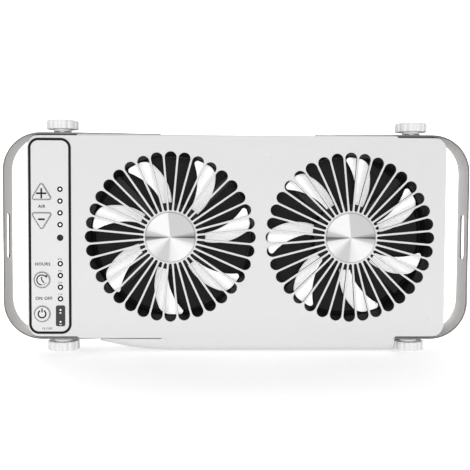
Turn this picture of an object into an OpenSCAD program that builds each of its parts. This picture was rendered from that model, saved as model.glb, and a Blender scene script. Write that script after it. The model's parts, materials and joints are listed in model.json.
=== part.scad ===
// Roof vent fan: two axial fans behind one grille, clamped across a roof hatch by two sliding straps.
// Modules are drawn as seen from the front: x to the right, y up, z towards the viewer.
// stand() then turns the whole unit upright, so that its front faces -Y and its top +Z.

/* [Body] */
// Length of the body between its two ends
body_w = 339; // [336:1:350]
// Height of the body
body_h = 165; // [163:1:180]
// Depth of the body, front face to back face
body_d = 50; // [48:1:56]
// Radius of the body's four upright corners
corner_r = 10; // [10:0.5:12]
// Thickness of the front plate
plate_t = 3; // [2.5:0.1:4]
// Thickness of the walls round the housing
wall_t = 3.5; // [3:0.1:4.5]
// Thickness of the housing's back wall
back_t = 2.5; // [2:0.1:3.5]
// Bevel round the back edges of the housing
back_bevel = 3; // [1:0.5:3.5]
// Depth of the seats under the outer ends of the strap legs
seat_drop = 1.4; // [1.2:0.1:1.6]
// Distance from the body's end to the step where the front plate gets lower
step_inset = 41.5; // [38:0.5:50]
// Length of the slant at that step
step_slant = 2; // [1:0.5:4]
// Width of the rim behind the front plate that locates the housing
rim_t = 1.6; // [1.2:0.1:2]
// Height of that rim
rim_h = 4; // [2:0.5:5]

/* [Lower lip] */
// How far the rounded lip reaches below the body
lip_drop = 11; // [9.5:0.5:12]
// Radius of its front edge
lip_round = 9.5; // [7:0.5:10]
// Radius of its back edge
lip_back_round = 6; // [3:0.5:7]
// Distance from the body's left end to the start of the lip
lip_start_inset = 57.5; // [55.5:0.5:65]
// Where it reaches its full height
lip_full = -50; // [-56:1:-44]
// Where the front plate's part of it starts
lip_split = -57; // [-62:1:-50]
// Distance from the body's right end to the end of the lip
lip_end_inset = 40.5; // [39.5:0.5:45]
// Radius of its long left curve
lip_curve_r = 260; // [240:5:280]
// Thickness of its walls
lip_wall = 2.5; // [2:0.1:3]
// Depth of the front plate's part of it
lip_cover_d = 12; // [11:0.5:14]
// Width of the open seam above its left part
lip_seam = 0.6; // [0.4:0.1:0.8]

/* [Front grille] */
// Number of radial slots in each grille
slot_count = 36; // [30:1:40]
// Width between the slots' outer tips and the edge of the fan's square
slot_margin = 1; // [1:0.1:3]
// Radius to the inner tips of the slots
slot_inner_r = 21.4; // [21:0.1:24]
// Width of the ribs between the slots
rib_w = 2; // [1.6:0.1:2.2]
// How far the middle of the grille stands forward
dome_h = 3; // [1:0.5:4]
// Width between the slots' outer tips and the start of the rise
dome_margin = 2; // [1.5:0.1:2.4]

/* [Hub caps] */
// Radius of the turned cap in the middle of each grille
cap_r = 19.9; // [18:0.1:20.4]
// Thickness of the cap
cap_t = 1.8; // [1.2:0.1:2.4]
// Depth of the recess that it is stuck in
cap_recess = 0.6; // [0.4:0.1:1]
// Bevel round the cap
cap_bevel = 0.6; // [0.3:0.1:1]

/* [Back grille] */
// Width of the ledge inside each collar's back end
back_ledge = 1; // [0.6:0.1:4]
// Radius of the solid disc in its middle
back_hub_r = 26; // [24:0.5:27]
// Number of rings between the disc and the edge
back_rings = 4; // [3:1:4]
// Width of each ring
back_ring_w = 2.4; // [2:0.1:3]
// Number of spokes
back_spokes = 12; // [12:1:16]
// Width of each spoke
back_spoke_w = 2.6; // [2:0.1:3]
// Wall of the collar between the back wall and the fan
collar_t = 1.8; // [1.5:0.1:2]
// Thickness of the foam filter inside each collar
filter_t = 3; // [2:0.5:4]

/* [Fans] */
// Room between the frames and the outside of the body, above and below
fan_room = 12.5; // [12:0.1:14]
// Depth of a fan frame
fan_d = 25; // [24:0.5:27]
// Gap between the two frames
fan_gap = 6; // [5:0.5:8]
// Gap between the control panel and the left frame
panel_gap = 9.9; // [9:0.1:12]
// Gap between the right frame and the body's end
fan_end_gap = 8.1; // [7:0.1:8.5]
// Narrowest width between the duct and the frame's side
duct_inset = 2.7; // [2.6:0.1:3.2]
// Wall of the duct
duct_t = 2.2; // [2:0.1:2.2]
// Narrowest width between the duct's flared mouth and the frame's side
mouth_inset = 0.8; // [0.7:0.1:1.6]
// Depth of the flare
mouth_d = 5; // [3:0.5:6]
// Thickness of the frame's two flanges
flange_t = 4; // [3:0.5:5]
// Distance from the frame's side to its locating holes
fan_hole_inset = 5; // [4.5:0.1:6]
// Radius of those holes
fan_hole_r = 2.15; // [2:0.05:2.3]
// Clearance round the pins in those holes
pin_gap = 0.15; // [0.1:0.05:0.3]
// Thickness of the foam gasket between the front plate and the frame
gasket_t = 10; // [9:0.5:11]
// Radius of the bosses in its corners
boss_r = 3.7; // [3.2:0.1:4]
// Clearance round them
boss_gap = 0.3; // [0.2:0.1:0.5]
// Width of the four struts that carry the motor
strut_w = 6; // [4:0.5:8]
// Thickness of the struts
strut_t = 3.5; // [3:0.1:4]

/* [Impellers] */
// Number of blades
blade_count = 7; // [5:1:8]
// Clearance between the blade tips and the duct
tip_gap = 1.1; // [0.9:0.1:3]
// Depth of the blades along the axis
blade_d = 14; // [12:0.5:14.5]
// Thickness of a blade
blade_t = 1.8; // [1.4:0.1:2.2]
// Width of a blade in degrees, as seen from the front
blade_arc = 18; // [14:0.5:20]
// How far the tip is turned ahead of the root
blade_sweep = 18; // [8:1:22]
// Share of the blade's length over which its tip is rounded
blade_round = 0.1; // [0.05:0.01:0.3]
// Slope of a blade against the disc plane
blade_pitch = 28; // [24:1:30]
// Radius of a blade's hollow
blade_camber_r = 50; // [42:1:60]
// Radius of the dark hub
hub_r = 26; // [25.5:0.1:26]
// Wall of the hub
hub_wall = 1.8; // [1.5:0.1:2]
// How far the rim round the hub's face stands out
hub_rim = 1.8; // [1.6:0.1:2]
// Thickness of that rim
hub_rim_t = 1.2; // [0.8:0.1:1.6]
// Wall of the blades' sleeve on the hub
sleeve_t = 1.5; // [1.2:0.1:1.6]
// Depth of the hub
hub_d = 18; // [17:0.5:18.5]
// Thickness of the hub's front disc
hub_face_t = 2.5; // [2:0.1:3]
// Turn of the left impeller at rest
left_turn = 2; // [0:1:51]
// Turn of the right impeller at rest
right_turn = 19.5; // [0:0.5:51]

/* [Motors] */
// Radius of a motor's shaft
shaft_r = 1.46; // [1.46:0.01:1.48]
// Radius of a bearing's bore
bearing_bore_r = 1.5; // [1.5:0.01:1.52]
// Outer radius of a bearing
bearing_r = 4; // [3.5:0.1:4.5]
// Width of a bearing
bearing_w = 4; // [3:0.1:4.2]
// Wall of the tube that holds the bearings
tube_t = 1.5; // [1.2:0.1:1.8]
// Length of that tube in front of the motor base
tube_h = 12.5; // [12:0.1:13]
// Radius of the motor base
base_r = 24; // [23:0.1:25]
// Thickness of the motor base
base_t = 2.5; // [2:0.1:3]
// Radius of the stator over its poles
stator_r = 21; // [20:0.1:21.4]
// Height of the stator's core
stator_h = 5; // [4:0.1:5.5]
// Gap between the stator and the magnet
air_gap = 0.9; // [0.6:0.1:1]
// Height of the magnet
magnet_h = 10; // [8:0.5:10.5]
// Thickness of the circuit ring under the stator
ring_board_t = 1; // [0.8:0.1:1.2]
// Radius of the clip at the end of the shaft
clip_r = 3; // [2.6:0.1:3.2]
// Thickness of that clip
clip_t = 0.5; // [0.4:0.1:0.7]

/* [Straps] */
// Distance from the body's end to the outside of the stored strap
strap_reach = 20.5; // [19.5:0.5:26]
// Thickness of the strap metal
strap_t = 1.4; // [1.2:0.1:2]
// Width of the strap metal
strap_w = 25; // [22:1:28]
// Outer radius of the bends
strap_bend_r = 31; // [30.5:0.5:32]
// Gap between the front plate and the strap's edge
strap_front_gap = 1; // [0.5:0.1:2]
// Clearance between a strap leg and the body
strap_gap = 0.1; // [0.05:0.05:0.2]
// Distance from a clamp stud to the tip of the leg, as the strap is stored
strap_tip_reach = 81; // [64:1:84]
// Radius of the rounded tips
strap_tip_r = 3.5; // [2.5:0.5:6]
// How far each strap pulls out
strap_travel = 25; // [15:1:28]
// Length of the slot in the strap's end
end_slot_l = 38; // [25:1:45]
// Width of that slot
end_slot_w = 9; // [7:0.5:11]

/* [Clamps] */
// Distance from the body's end to the clamp studs
stud_inset = 25.5; // [24.5:0.5:27.5]
// Radius of a stud
stud_r = 2.5; // [2.45:0.05:2.5]
// Clearance between the stud and its insert
stud_gap = 0.05; // [0.04:0.01:0.1]
// Clearance between the stud and the strap's slot
slot_gap = 0.4; // [0.3:0.05:0.8]
// Length of a stud below the strap
stud_l = 9.4; // [8.6:0.1:10]
// Radius of a threaded insert
insert_r = 3.6; // [3.4:0.1:4]
// Length of an insert
insert_l = 7; // [6:0.1:7.2]
// Clearance round the pads under the strap legs
pad_gap = 0.3; // [0.2:0.1:0.5]
// Wall of the block round an insert
insert_wall = 2.6; // [2:0.1:3]
// Height of that block inside the housing
insert_block_h = 6; // [5.6:0.1:6.2]
// Radius of a washer
washer_r = 7; // [6:0.1:7.4]
// Thickness of a washer
washer_t = 1.2; // [0.8:0.1:1.6]
// Clearance above and below a washer
washer_gap = 0.1; // [0.05:0.05:0.2]
// Radius of a knob over its flutes
knob_r = 13; // [11:0.1:13.5]
// Height of the knob's head
knob_h = 7.4; // [7:0.1:10]
// Number of flutes
knob_flutes = 12; // [8:1:14]
// Radius of a flute's hollow
flute_r = 2; // [1.5:0.1:2.4]
// Depth of a flute
flute_depth = 0.9; // [0.5:0.1:1.2]
// Bevel of the knob's edges
knob_bevel = 1.2; // [0.6:0.1:1.5]
// Radius of the knob's neck
neck_r = 7.4; // [6.5:0.1:8]
// Height of the knob's neck
neck_h = 1.6; // [1.2:0.1:4]

/* [Control panel] */
// Width of the panel over its dark border
panel_w = 34; // [33:0.5:34.5]
// Margin between the panel and the top and bottom of the body
panel_margin = 3.5; // [3:0.1:4.5]
// Corner radius of the panel
panel_r = 8; // [6:0.5:9]
// White edge between the panel and the body's end
panel_edge = 1; // [0.8:0.1:1.2]
// Width of the dark border
border_w = 2; // [1.5:0.1:2.4]
// Thickness of the border and of the face inside it
face_t = 0.8; // [0.5:0.1:1]
// How far the face stands proud of the plate
face_proud = 0.2; // [0.1:0.05:0.4]
// Distance from the panel's left edge to the middle of the buttons
button_col = 10.5; // [10:0.1:10.8]
// Distance from the panel's left edge to the middle of the lights
light_col = 25.2; // [24.8:0.1:26]
// Radius of the two round buttons
round_button_r = 6.4; // [5.8:0.1:6.8]
// Width of the two three-cornered buttons
tri_button_w = 15; // [14:0.1:15.4]
// Height of the two three-cornered buttons
tri_button_h = 13; // [12:0.1:13.4]
// Radius of their corners
tri_corner_r = 1.6; // [1.2:0.1:2]
// Distance from the panel's top to the faster button
plus_drop = 43; // [42:0.1:44]
// Distance from the panel's top to the slower button
minus_drop = 66.3; // [65.5:0.1:67]
// Height of the timer button above the panel's bottom
timer_rise = 43.9; // [43:0.1:45]
// Height of the power button above the panel's bottom
power_rise = 16.3; // [16:0.1:19]
// Clearance round the buttons
button_gap = 0.35; // [0.25:0.05:0.45]
// Travel of the buttons
button_travel = 0.6; // [0.3:0.05:0.8]
// How far the buttons stand proud of the face
button_proud = 0.7; // [0.5:0.05:1]
// Width of the flange that keeps a button in
button_flange = 0.8; // [0.6:0.1:1]
// Radius of a button's plunger
plunger_r = 1.6; // [1.4:0.05:1.7]
// Radius of a light
light_r = 1.15; // [1:0.05:1.3]
// Outer radius of the dark ring round a light
light_ring_r = 2.25; // [2:0.05:2.5]
// Distance between the lights
light_pitch = 9.5; // [8:0.1:10]
// Distance from the panel's top to the uppermost speed light
speed_light_drop = 41; // [39:0.1:42]
// Height of the uppermost timer light above the panel's bottom
timer_light_rise = 57; // [56.5:0.1:58]
// Radius of the remote control's window
window_r = 2.6; // [2.2:0.1:3]
// Distance from the panel's top to the remote control's window
window_drop = 80; // [79:0.1:80.5]
// Width of the airflow indicator
flow_w = 7.5; // [7:0.1:8]
// Height of the airflow indicator
flow_h = 17; // [16:0.1:17.5]
// Height of the indicator's middle above the panel's bottom
flow_rise = 14.7; // [14:0.1:15]
// Distance between its two lights
flow_light_pitch = 9.7; // [8:0.1:10.2]
// Radius of its two lights
flow_light_r = 0.7; // [0.5:0.05:0.9]

/* [Circuit board] */
// Width of the circuit board
board_w = 27; // [26:0.5:28]
// Room between the circuit board and the screw posts above and below it
board_room = 0.5; // [0.3:0.1:2]
// Thickness of the circuit board
board_t = 1.6; // [1:0.1:1.8]
// Distance from the front plate to the board
board_gap = 6.4; // [6.2:0.1:6.8]
// Width of a switch
switch_w = 6; // [5:0.1:6.5]
// Height of a switch
switch_h = 3.4; // [3.2:0.1:3.6]
// Radius of the posts that carry the board
post_r = 2.6; // [2.2:0.1:2.8]
// Distance from the board's edge to its screws
board_inset = 3; // [2.8:0.1:3.2]

/* [Screws and inlet] */
// Radius of the body screws
screw_r = 1.5; // [1.3:0.1:1.7]
// Radius of their heads
screw_head_r = 2.8; // [2.5:0.1:3]
// Height of their heads
screw_head_h = 2; // [1.6:0.1:2.2]
// Radius of the posts that they go through
screw_post_r = 4; // [3.8:0.1:4.1]
// Distance from the wall's inside to the middle of a post
screw_inset = 4.3; // [4.2:0.1:4.4]
// Length of screw in the front plate's posts
screw_bite = 6; // [5:0.5:7]
// Radius of the small screws in the circuit board
small_screw_r = 1.1; // [0.9:0.1:1.2]
// Outer radius of the power inlet
inlet_r = 5.5; // [5:0.1:6]
// Radius of the inlet's socket
socket_r = 2.8; // [2.7:0.05:2.9]
// Depth of the inlet's socket
socket_d = 9; // [8:0.5:10]
// Radius of the pin in the inlet
inlet_pin_r = 1.0; // [0.9:0.05:1.1]
// Length of the inlet inside the housing
inlet_l = 12; // [11.5:0.5:13]
// Height of the inlet above the middle
inlet_y = -40; // [-48:1:-30]
// Radius of the leads inside the housing
lead_r = 1.2; // [1:0.1:1.4]

/* [Hidden] */
$fn = 72;

cut = 0.5;

// Fans: the largest frames that fit both the height and the length of the body
fan_size = min(body_h - 2 * fan_room,
               (body_w - panel_edge - panel_w - panel_gap - fan_gap - fan_end_gap) / 2);
fan_hole_pitch = fan_size - 2 * fan_hole_inset;
duct_r = fan_size / 2 - duct_inset;
mouth_r = fan_size / 2 - mouth_inset;
blade_r = duct_r - tip_gap;
slot_outer_r = fan_size / 2 - slot_margin;
dome_r = slot_outer_r + dome_margin;
collar_r = duct_r - 0.3;
back_r = collar_r - back_ledge;

// Places along the length
step_x = body_w / 2 - step_inset;
lip_start = lip_start_inset - body_w / 2;
lip_end = body_w / 2 - lip_end_inset;
overall_w = body_w + 2 * strap_reach;
stud_x = body_w / 2 - stud_inset;
strap_tip_x = stud_x - strap_tip_reach;

// Heights on the control panel
panel_h = body_h - 2 * panel_margin;
plus_y = panel_h / 2 - plus_drop;
minus_y = panel_h / 2 - minus_drop;
timer_y = timer_rise - panel_h / 2;
power_y = power_rise - panel_h / 2;
speed_light_y = panel_h / 2 - speed_light_drop;
timer_light_y = timer_light_rise - panel_h / 2;
window_y = panel_h / 2 - window_drop;
flow_y = flow_rise - panel_h / 2;

// Depths, measured along z from the middle of the body
front_z = body_d / 2;
back_z = -body_d / 2;
plate_back_z = front_z - plate_t;
back_in_z = back_z + back_t;
fan_front_z = plate_back_z - gasket_t;
fan_back_z = fan_front_z - fan_d;
strut_front_z = fan_back_z + strut_t;
base_front_z = fan_back_z + base_t;
blade_mid_z = strut_front_z + 1.5 + blade_d / 2;
hub_back_z = strut_front_z + 1;
hub_front_z = hub_back_z + hub_d;
strap_front_z = plate_back_z - strap_front_gap;
strap_mid_z = strap_front_z - strap_w / 2;
seat_back_z = strap_front_z - strap_w - 0.5;
lip_part_z = front_z - lip_cover_d;
cap_front_z = front_z + dome_h - cap_recess + cap_t;
middle_z = (cap_front_z + back_z) / 2;
board_front_z = plate_back_z - board_gap;
board_back_z = board_front_z - board_t;

// Heights of the strap, its seat and the clamps above the middle
seat_y = body_h / 2 - seat_drop;
strap_in_y = body_h / 2 + strap_gap;
strap_out_y = strap_in_y + strap_t;
washer_y = strap_out_y + washer_gap;
knob_y = washer_y + washer_t + washer_gap;
knob_top_y = knob_y + neck_h + knob_h;
wall_in_y = body_h / 2 - wall_t;
wall_in_x = body_w / 2 - wall_t;

// Places of the fans
right_fan_x = body_w / 2 - fan_end_gap - fan_size / 2;
left_fan_x = right_fan_x - fan_gap - fan_size;
fan_xs = [left_fan_x, right_fan_x];

// Places on the control panel
panel_x = -body_w / 2 + panel_edge + panel_w / 2;
panel_left = panel_x - panel_w / 2;
button_x = panel_left + button_col;
light_x = panel_left + light_col;
face_front_z = front_z + face_proud;
face_back_z = face_front_z - face_t;
button_front_z = face_front_z + button_proud;
light_ys = [for (i = [0:3]) speed_light_y - i * light_pitch,
            for (i = [0:3]) timer_light_y - i * light_pitch];
button_ys = [plus_y, minus_y, timer_y, power_y];
flow_ys = [flow_y - flow_light_pitch / 2, flow_y + flow_light_pitch / 2];

// Body screws: two rows, above and below the fans
screw_y = wall_in_y - screw_inset;
screw_xs = [-wall_in_x + screw_inset + 2, (left_fan_x + right_fan_x) / 2, wall_in_x - screw_inset - 2];
screw_part_z = plate_back_z - screw_bite - 1;

// Circuit board
board_x = panel_x;
board_h = 2 * (screw_y - screw_post_r - board_room);
board_left = board_x - board_w / 2 + board_inset;
board_right = board_x + board_w / 2 - board_inset;
// Its screws: two at the top, and two lower ones between buttons and between lights
board_spots = [
    [board_left, board_h / 2 - board_inset], [board_right, board_h / 2 - board_inset],
    [board_left, (timer_y + power_y) / 2], [board_right, light_ys[7] + light_pitch / 2]];
inlet_x = board_x;
inlet_front_z = back_z + inlet_l;

// Colours
white = "white";
shell = [0.93, 0.93, 0.92];
dark = [0.09, 0.09, 0.1];
steel = [0.72, 0.73, 0.74];
bright = [0.85, 0.85, 0.86];
brassy = [0.8, 0.66, 0.35];
copper = [0.75, 0.42, 0.22];
green = [0.1, 0.35, 0.2];

module stand() rotate([90, 0, 0]) translate([0, 0, -middle_z]) children();

module rounded_rect(w, h, r) {
    square([w - 2 * r, h], center = true);
    square([w, h - 2 * r], center = true);
    for (sx = [-1, 1], sy = [-1, 1])
        translate([sx * (w / 2 - r), sy * (h / 2 - r)]) circle(r);
}

// A slot with round ends, along x from x0 to x1
module long_slot(x0, x1, w) {
    translate([x0 + w / 2, -w / 2]) square([x1 - x0 - w, w]);
    translate([x0 + w / 2, 0]) circle(w / 2, $fn = 32);
    translate([x1 - w / 2, 0]) circle(w / 2, $fn = 32);
}

module prism(z0, z1) translate([0, 0, z0]) linear_extrude(z1 - z0) children();

module tube(r_out, r_in, z0, z1) {
    prism(z0, z1) difference() {
        circle(r_out);
        circle(r_in);
    }
}

// Outlines

// The body's outline, with the low ends that the strap legs lie over
module plate_outline() {
    rounded_rect(body_w, body_h - 2 * seat_drop, corner_r);
    for (s = [-1, 1]) scale([1, s]) polygon([
        [-step_x - step_slant, 0], [-step_x - step_slant, seat_y], [-step_x, body_h / 2],
        [step_x, body_h / 2], [step_x + step_slant, seat_y], [step_x + step_slant, 0]]);
}

// The lower lip as seen from the front, from x0 to x1: its bottom is left to the end view
module lip_front_view(x0, x1) {
    lip_y = -body_h / 2 - lip_drop;
    intersection() {
        translate([x0, lip_y - 1]) square([x1 - x0, lip_drop + wall_t]);
        union() {
            translate([lip_full, lip_y + lip_curve_r - 0.05]) circle(lip_curve_r, $fn = 180);
            translate([lip_full, lip_y - 1]) square([lip_end - lip_full + 1, lip_drop + wall_t]);
        }
    }
}

// The lower lip as seen from the end, or its hollow a wall inside: x is forward and y is up
module lip_end_view(inset = 0) {
    low = -body_h / 2 - lip_drop;
    top = -body_h / 2 + 0.5;
    back_c = back_z + lip_back_round;
    front_c = front_z - lip_round;
    translate([back_c, low + inset]) square([front_c - back_c, top - low - inset]);
    translate([back_z + inset, low + lip_back_round])
        square([front_c - back_z - inset, top - low - lip_back_round]);
    translate([back_c, low + lip_round]) square([front_z - inset - back_c, top - low - lip_round]);
    translate([back_c, low + lip_back_round]) circle(max(0.3, lip_back_round - inset));
    translate([front_c, low + lip_round]) circle(lip_round - inset);
}

// The lip between x0 and x1 and between the depths z0 and z1
module lip_body(x0, x1, z0, z1) {
    intersection() {
        prism(z0, z1) lip_front_view(x0, x1);
        translate([x0 - 1, 0, 0]) rotate([0, 90, 0])
            linear_extrude(x1 - x0 + 2) mirror([1, 0]) lip_end_view();
    }
}

// The lip's left end, between x0 and x1: its end view turned round a long circle
module lip_turned(x0, x1) {
    low = -body_h / 2 - lip_drop;
    turn = asin((lip_full - x0) / (lip_curve_r - lip_drop - 1)) + 2;
    intersection() {
        translate([lip_full, low + lip_curve_r, 0]) rotate(-90 - turn) rotate_extrude(angle = turn, $fn = 720)
            translate([lip_curve_r + low, 0]) rotate(90) lip_end_view();
        translate([x0, low - 1, back_z + 0.02]) cube([x1 - x0, lip_drop + 1 + wall_t, body_d + cut]);
    }
}

// The hollow inside the lip
module lip_hollow(z0, z1) {
    low = -body_h / 2 - lip_drop + lip_wall;
    high = -strap_out_y - strap_gap - lip_wall;
    intersection() {
        translate([lip_full, low - 1, z0]) cube([lip_end - lip_wall - lip_full, high - low + 1, z1 - z0]);
        translate([lip_full - 1, 0, 0]) rotate([0, 90, 0])
            linear_extrude(lip_end - lip_full + 2) mirror([1, 0]) lip_end_view(lip_wall);
    }
}

// Room for the strap legs under the body, inside the lip, with the open seam above its left part
module leg_room() {
    h = strap_t + 2 * strap_gap;
    for (s = [-1, 1]) scale([s, 1, 1])
        translate([strap_tip_x - 1, -body_h / 2 - h, seat_back_z])
            cube([body_w / 2 - strap_tip_x + 1, h, plate_back_z - seat_back_z]);
    translate([lip_start - cut, -body_h / 2 - lip_seam, plate_back_z - cut])
        cube([-strap_tip_x - lip_start + cut + 1, lip_seam, plate_t + 2 * cut]);
}

// Seats for the pads under the outer ends of the strap legs
module pad_seats(gap) {
    x0 = step_x + step_slant;
    for (sx = [-1, 1], sy = [-1, 1]) scale([sx, sy, 1])
        translate([x0 + gap, seat_y, seat_back_z + gap])
            cube([body_w / 2 - x0, seat_drop + cut, plate_back_z - seat_back_z + cut]);
}

module at_fans() for (x = fan_xs) translate([x, 0, 0]) children();

// Body

// One grille slot along x: its sides keep the ribs at one width
module grille_slot() {
    half = 180 / slot_count;
    outer_c = (slot_outer_r + rib_w / 2) / (1 + sin(half));
    outer_e = outer_c * sin(half) - rib_w / 2;
    inner_c = (slot_inner_r - rib_w / 2) / (1 - sin(half));
    inner_e = inner_c * sin(half) - rib_w / 2;
    polygon([
        [inner_c - inner_e * sin(half), inner_e * cos(half)],
        [outer_c - outer_e * sin(half), outer_e * cos(half)],
        [outer_c - outer_e * sin(half), -outer_e * cos(half)],
        [inner_c - inner_e * sin(half), -inner_e * cos(half)]]);
    translate([outer_c, 0]) circle(outer_e, $fn = 36);
    translate([inner_c, 0]) circle(inner_e, $fn = 24);
}

module grille_slots() for (i = [0:slot_count - 1]) rotate(i * 360 / slot_count) grille_slot();

// The slightly raised middle of a grille
module grille_dome() {
    rotate_extrude($fn = 120) polygon([
        [0, plate_back_z + dome_h], [slot_inner_r, plate_back_z + dome_h], [dome_r, plate_back_z],
        [dome_r, front_z], [slot_inner_r, front_z + dome_h],
        [cap_r + 0.3, front_z + dome_h], [cap_r + 0.3, front_z + dome_h - cap_recess],
        [0, front_z + dome_h - cap_recess]]);
}

module round_button_outline(gap) circle(round_button_r + gap);

// Three-cornered button with its point at the top
module tri_button_outline(gap) {
    r = tri_corner_r + gap;
    x = tri_button_w / 2 - tri_corner_r;
    y = tri_button_h / 2 - tri_corner_r;
    n = unit([2 * y, x]);
    polygon([[-x, -y - r], [x, -y - r], [x, -y] + r * n, [0, y] + r * n,
             [0, y] + r * [-n[0], n[1]], [-x, -y] + r * [-n[0], n[1]]]);
    for (c = [[-x, -y], [x, -y], [0, y]]) translate(c) circle(r - 0.01, $fn = 48);
}

module button_outline(i, gap) {
    translate([button_x, button_ys[i]])
        if (i == 0) tri_button_outline(gap);
        else if (i == 1) mirror([0, 1]) tri_button_outline(gap);
        else round_button_outline(gap);
}

module cover_lip() difference() {
    lip_body(lip_split, lip_end, lip_part_z, front_z + cut);
    lip_hollow(lip_part_z - cut, plate_back_z);
    // Inside of the body
    translate([-body_w / 2, -body_h / 2, lip_part_z - cut])
        cube([body_w, body_h, plate_back_z - lip_part_z + cut]);
    leg_room();
}

module front_cover() color(shell) stand() {
    cover_lip();
    difference() {
        union() {
            prism(plate_back_z, front_z) difference() {
                plate_outline();
                for (x = fan_xs) translate([x, 0]) circle(dome_r, $fn = 120);
            }
            at_fans() grille_dome();
            prism(plate_back_z - rim_h, plate_back_z + 0.1) difference() {
                rounded_rect(2 * wall_in_x - 0.4, 2 * wall_in_y - 0.4, corner_r - wall_t);
                rounded_rect(2 * (wall_in_x - rim_t) - 0.4, 2 * (wall_in_y - rim_t) - 0.4,
                             corner_r - wall_t - rim_t);
            }
            for (x = screw_xs, s = [-1, 1]) translate([x, s * screw_y, 0])
                prism(screw_part_z, plate_back_z + 0.1) circle(screw_post_r);
            for (p = board_spots) translate(p) prism(board_front_z, plate_back_z + 0.1) circle(post_r);
            at_fans() for (sx = [-1, 1], sy = [-1, 1])
                translate([sx * fan_hole_pitch / 2, sy * fan_hole_pitch / 2, 0]) {
                    prism(fan_front_z, plate_back_z + 0.1) circle(boss_r);
                    prism(fan_front_z - flange_t + 0.5, fan_front_z + 0.1) circle(fan_hole_r - pin_gap);
                }
        }
        at_fans() prism(plate_back_z - cut, front_z + dome_h + cut) grille_slots();
        translate([panel_x, 0, 0]) prism(face_back_z, front_z + cut) rounded_rect(panel_w, panel_h, panel_r);
        for (i = [0:3]) prism(plate_back_z - cut, front_z + cut) button_outline(i, button_gap);
        for (y = light_ys) translate([light_x, y, 0])
            prism(plate_back_z - cut, front_z + cut) circle(light_r, $fn = 24);
        translate([light_x, window_y, 0])
            prism(plate_back_z - cut, front_z + cut) circle(window_r, $fn = 32);
        translate([light_x, flow_y, 0])
            prism(plate_back_z - cut, front_z + cut) rounded_rect(flow_w, flow_h, 1);
        for (x = screw_xs, s = [-1, 1]) translate([x, s * screw_y, 0])
            prism(screw_part_z - cut, plate_back_z - 0.5) circle(screw_r, $fn = 32);
        for (p = board_spots) translate(p)
            prism(board_front_z - cut, plate_back_z - 0.5) circle(small_screw_r, $fn = 24);
        // Room for the buttons' flanges in the rim
        for (i = [0:3]) prism(plate_back_z - rim_h - cut, plate_back_z - 0.1)
            button_outline(i, button_flange + button_gap);
    }
}

module back_grille() {
    step = (back_r - back_hub_r) / (back_rings + 1);
    difference() {
        circle(back_r, $fn = 96);
        circle(back_hub_r);
        for (i = [1:back_rings]) difference() {
            circle(back_hub_r + i * step + back_ring_w / 2, $fn = 96);
            circle(back_hub_r + i * step - back_ring_w / 2, $fn = 96);
        }
        for (i = [0:back_spokes - 1]) rotate(i * 360 / back_spokes)
            translate([0, -back_spoke_w / 2]) square([back_r + 1, back_spoke_w]);
    }
}

// Bevel along one straight back edge: a square bar set on its corner
module bevel_bar(length) rotate([0, 90, 0]) rotate(45)
    cube([back_bevel * sqrt(2), back_bevel * sqrt(2), length], center = true);

module rear_housing() color(shell) stand() {
    difference() {
        union() {
            difference() {
                union() {
                    prism(back_z, plate_back_z) rounded_rect(body_w, body_h, corner_r);
                    lip_body(lip_split, lip_end, back_z - cut, lip_part_z);
                    lip_turned(lip_start, lip_split);
                }
                prism(back_in_z, plate_back_z + cut)
                    rounded_rect(2 * wall_in_x, 2 * wall_in_y, corner_r - wall_t);
                lip_hollow(back_in_z, lip_part_z + cut);
                translate([-body_w / 2, 0, plate_back_z]) cube([body_w, body_h / 2, plate_t + cut]);
                translate([-body_w / 2, -body_h / 2, plate_back_z]) cube([body_w, body_h / 2, plate_t + cut]);
            }
            at_fans() tube(collar_r + collar_t, collar_r, back_in_z - 0.1, fan_back_z, $fn = 96);
            for (x = screw_xs, s = [-1, 1]) translate([x, s * screw_y, 0])
                prism(back_in_z - 0.1, screw_part_z) circle(screw_post_r);
            for (sx = [-1, 1], sy = [-1, 1]) scale([sx, sy, 1])
                translate([stud_x - insert_r - insert_wall, wall_in_y - insert_block_h,
                           strap_mid_z - insert_r - insert_wall])
                    cube([2 * (insert_r + insert_wall), insert_block_h + 0.1, 2 * (insert_r + insert_wall)]);
        }
        leg_room();
        pad_seats(0);
        for (sx = [-1, 1], sy = [-1, 1]) scale([sx, sy, 1])
            translate([stud_x, seat_y - insert_l - 4, strap_mid_z])
                rotate([-90, 0, 0]) cylinder(r = insert_r, h = insert_l + 4 + cut, $fn = 40);
        at_fans() prism(back_z - cut, back_in_z + 0.1) back_grille();
        for (x = screw_xs, s = [-1, 1]) translate([x, s * screw_y, 0]) {
            prism(back_z - cut, screw_part_z + cut) circle(screw_r + 0.2, $fn = 32);
            prism(back_z - cut, back_z + screw_head_h + 1) circle(screw_head_r + 0.3, $fn = 40);
        }
        translate([inlet_x, inlet_y, 0]) prism(back_z - cut, back_in_z + cut) circle(inlet_r);
        for (s = [-1, 1]) {
            translate([0, s * body_h / 2, back_z]) if (s > 0) bevel_bar(2 * body_w);
            translate([s * body_w / 2, 0, back_z]) rotate(90) bevel_bar(2 * body_h);
        }
    }
}

module filter_pads() color(dark) stand() at_fans()
    prism(back_in_z, back_in_z + filter_t) circle(collar_r - 0.3, $fn = 96);

module hub_cap(x) color(bright) stand() translate([x, 0, 0]) {
    z0 = front_z + dome_h - cap_recess;
    rotate_extrude($fn = 96) polygon([
        [0, z0], [cap_r, z0], [cap_r, z0 + cap_t - cap_bevel],
        [cap_r - cap_bevel, z0 + cap_t], [0, z0 + cap_t]]);
}
module left_hub_cap() hub_cap(left_fan_x);
module right_hub_cap() hub_cap(right_fan_x);

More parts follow.
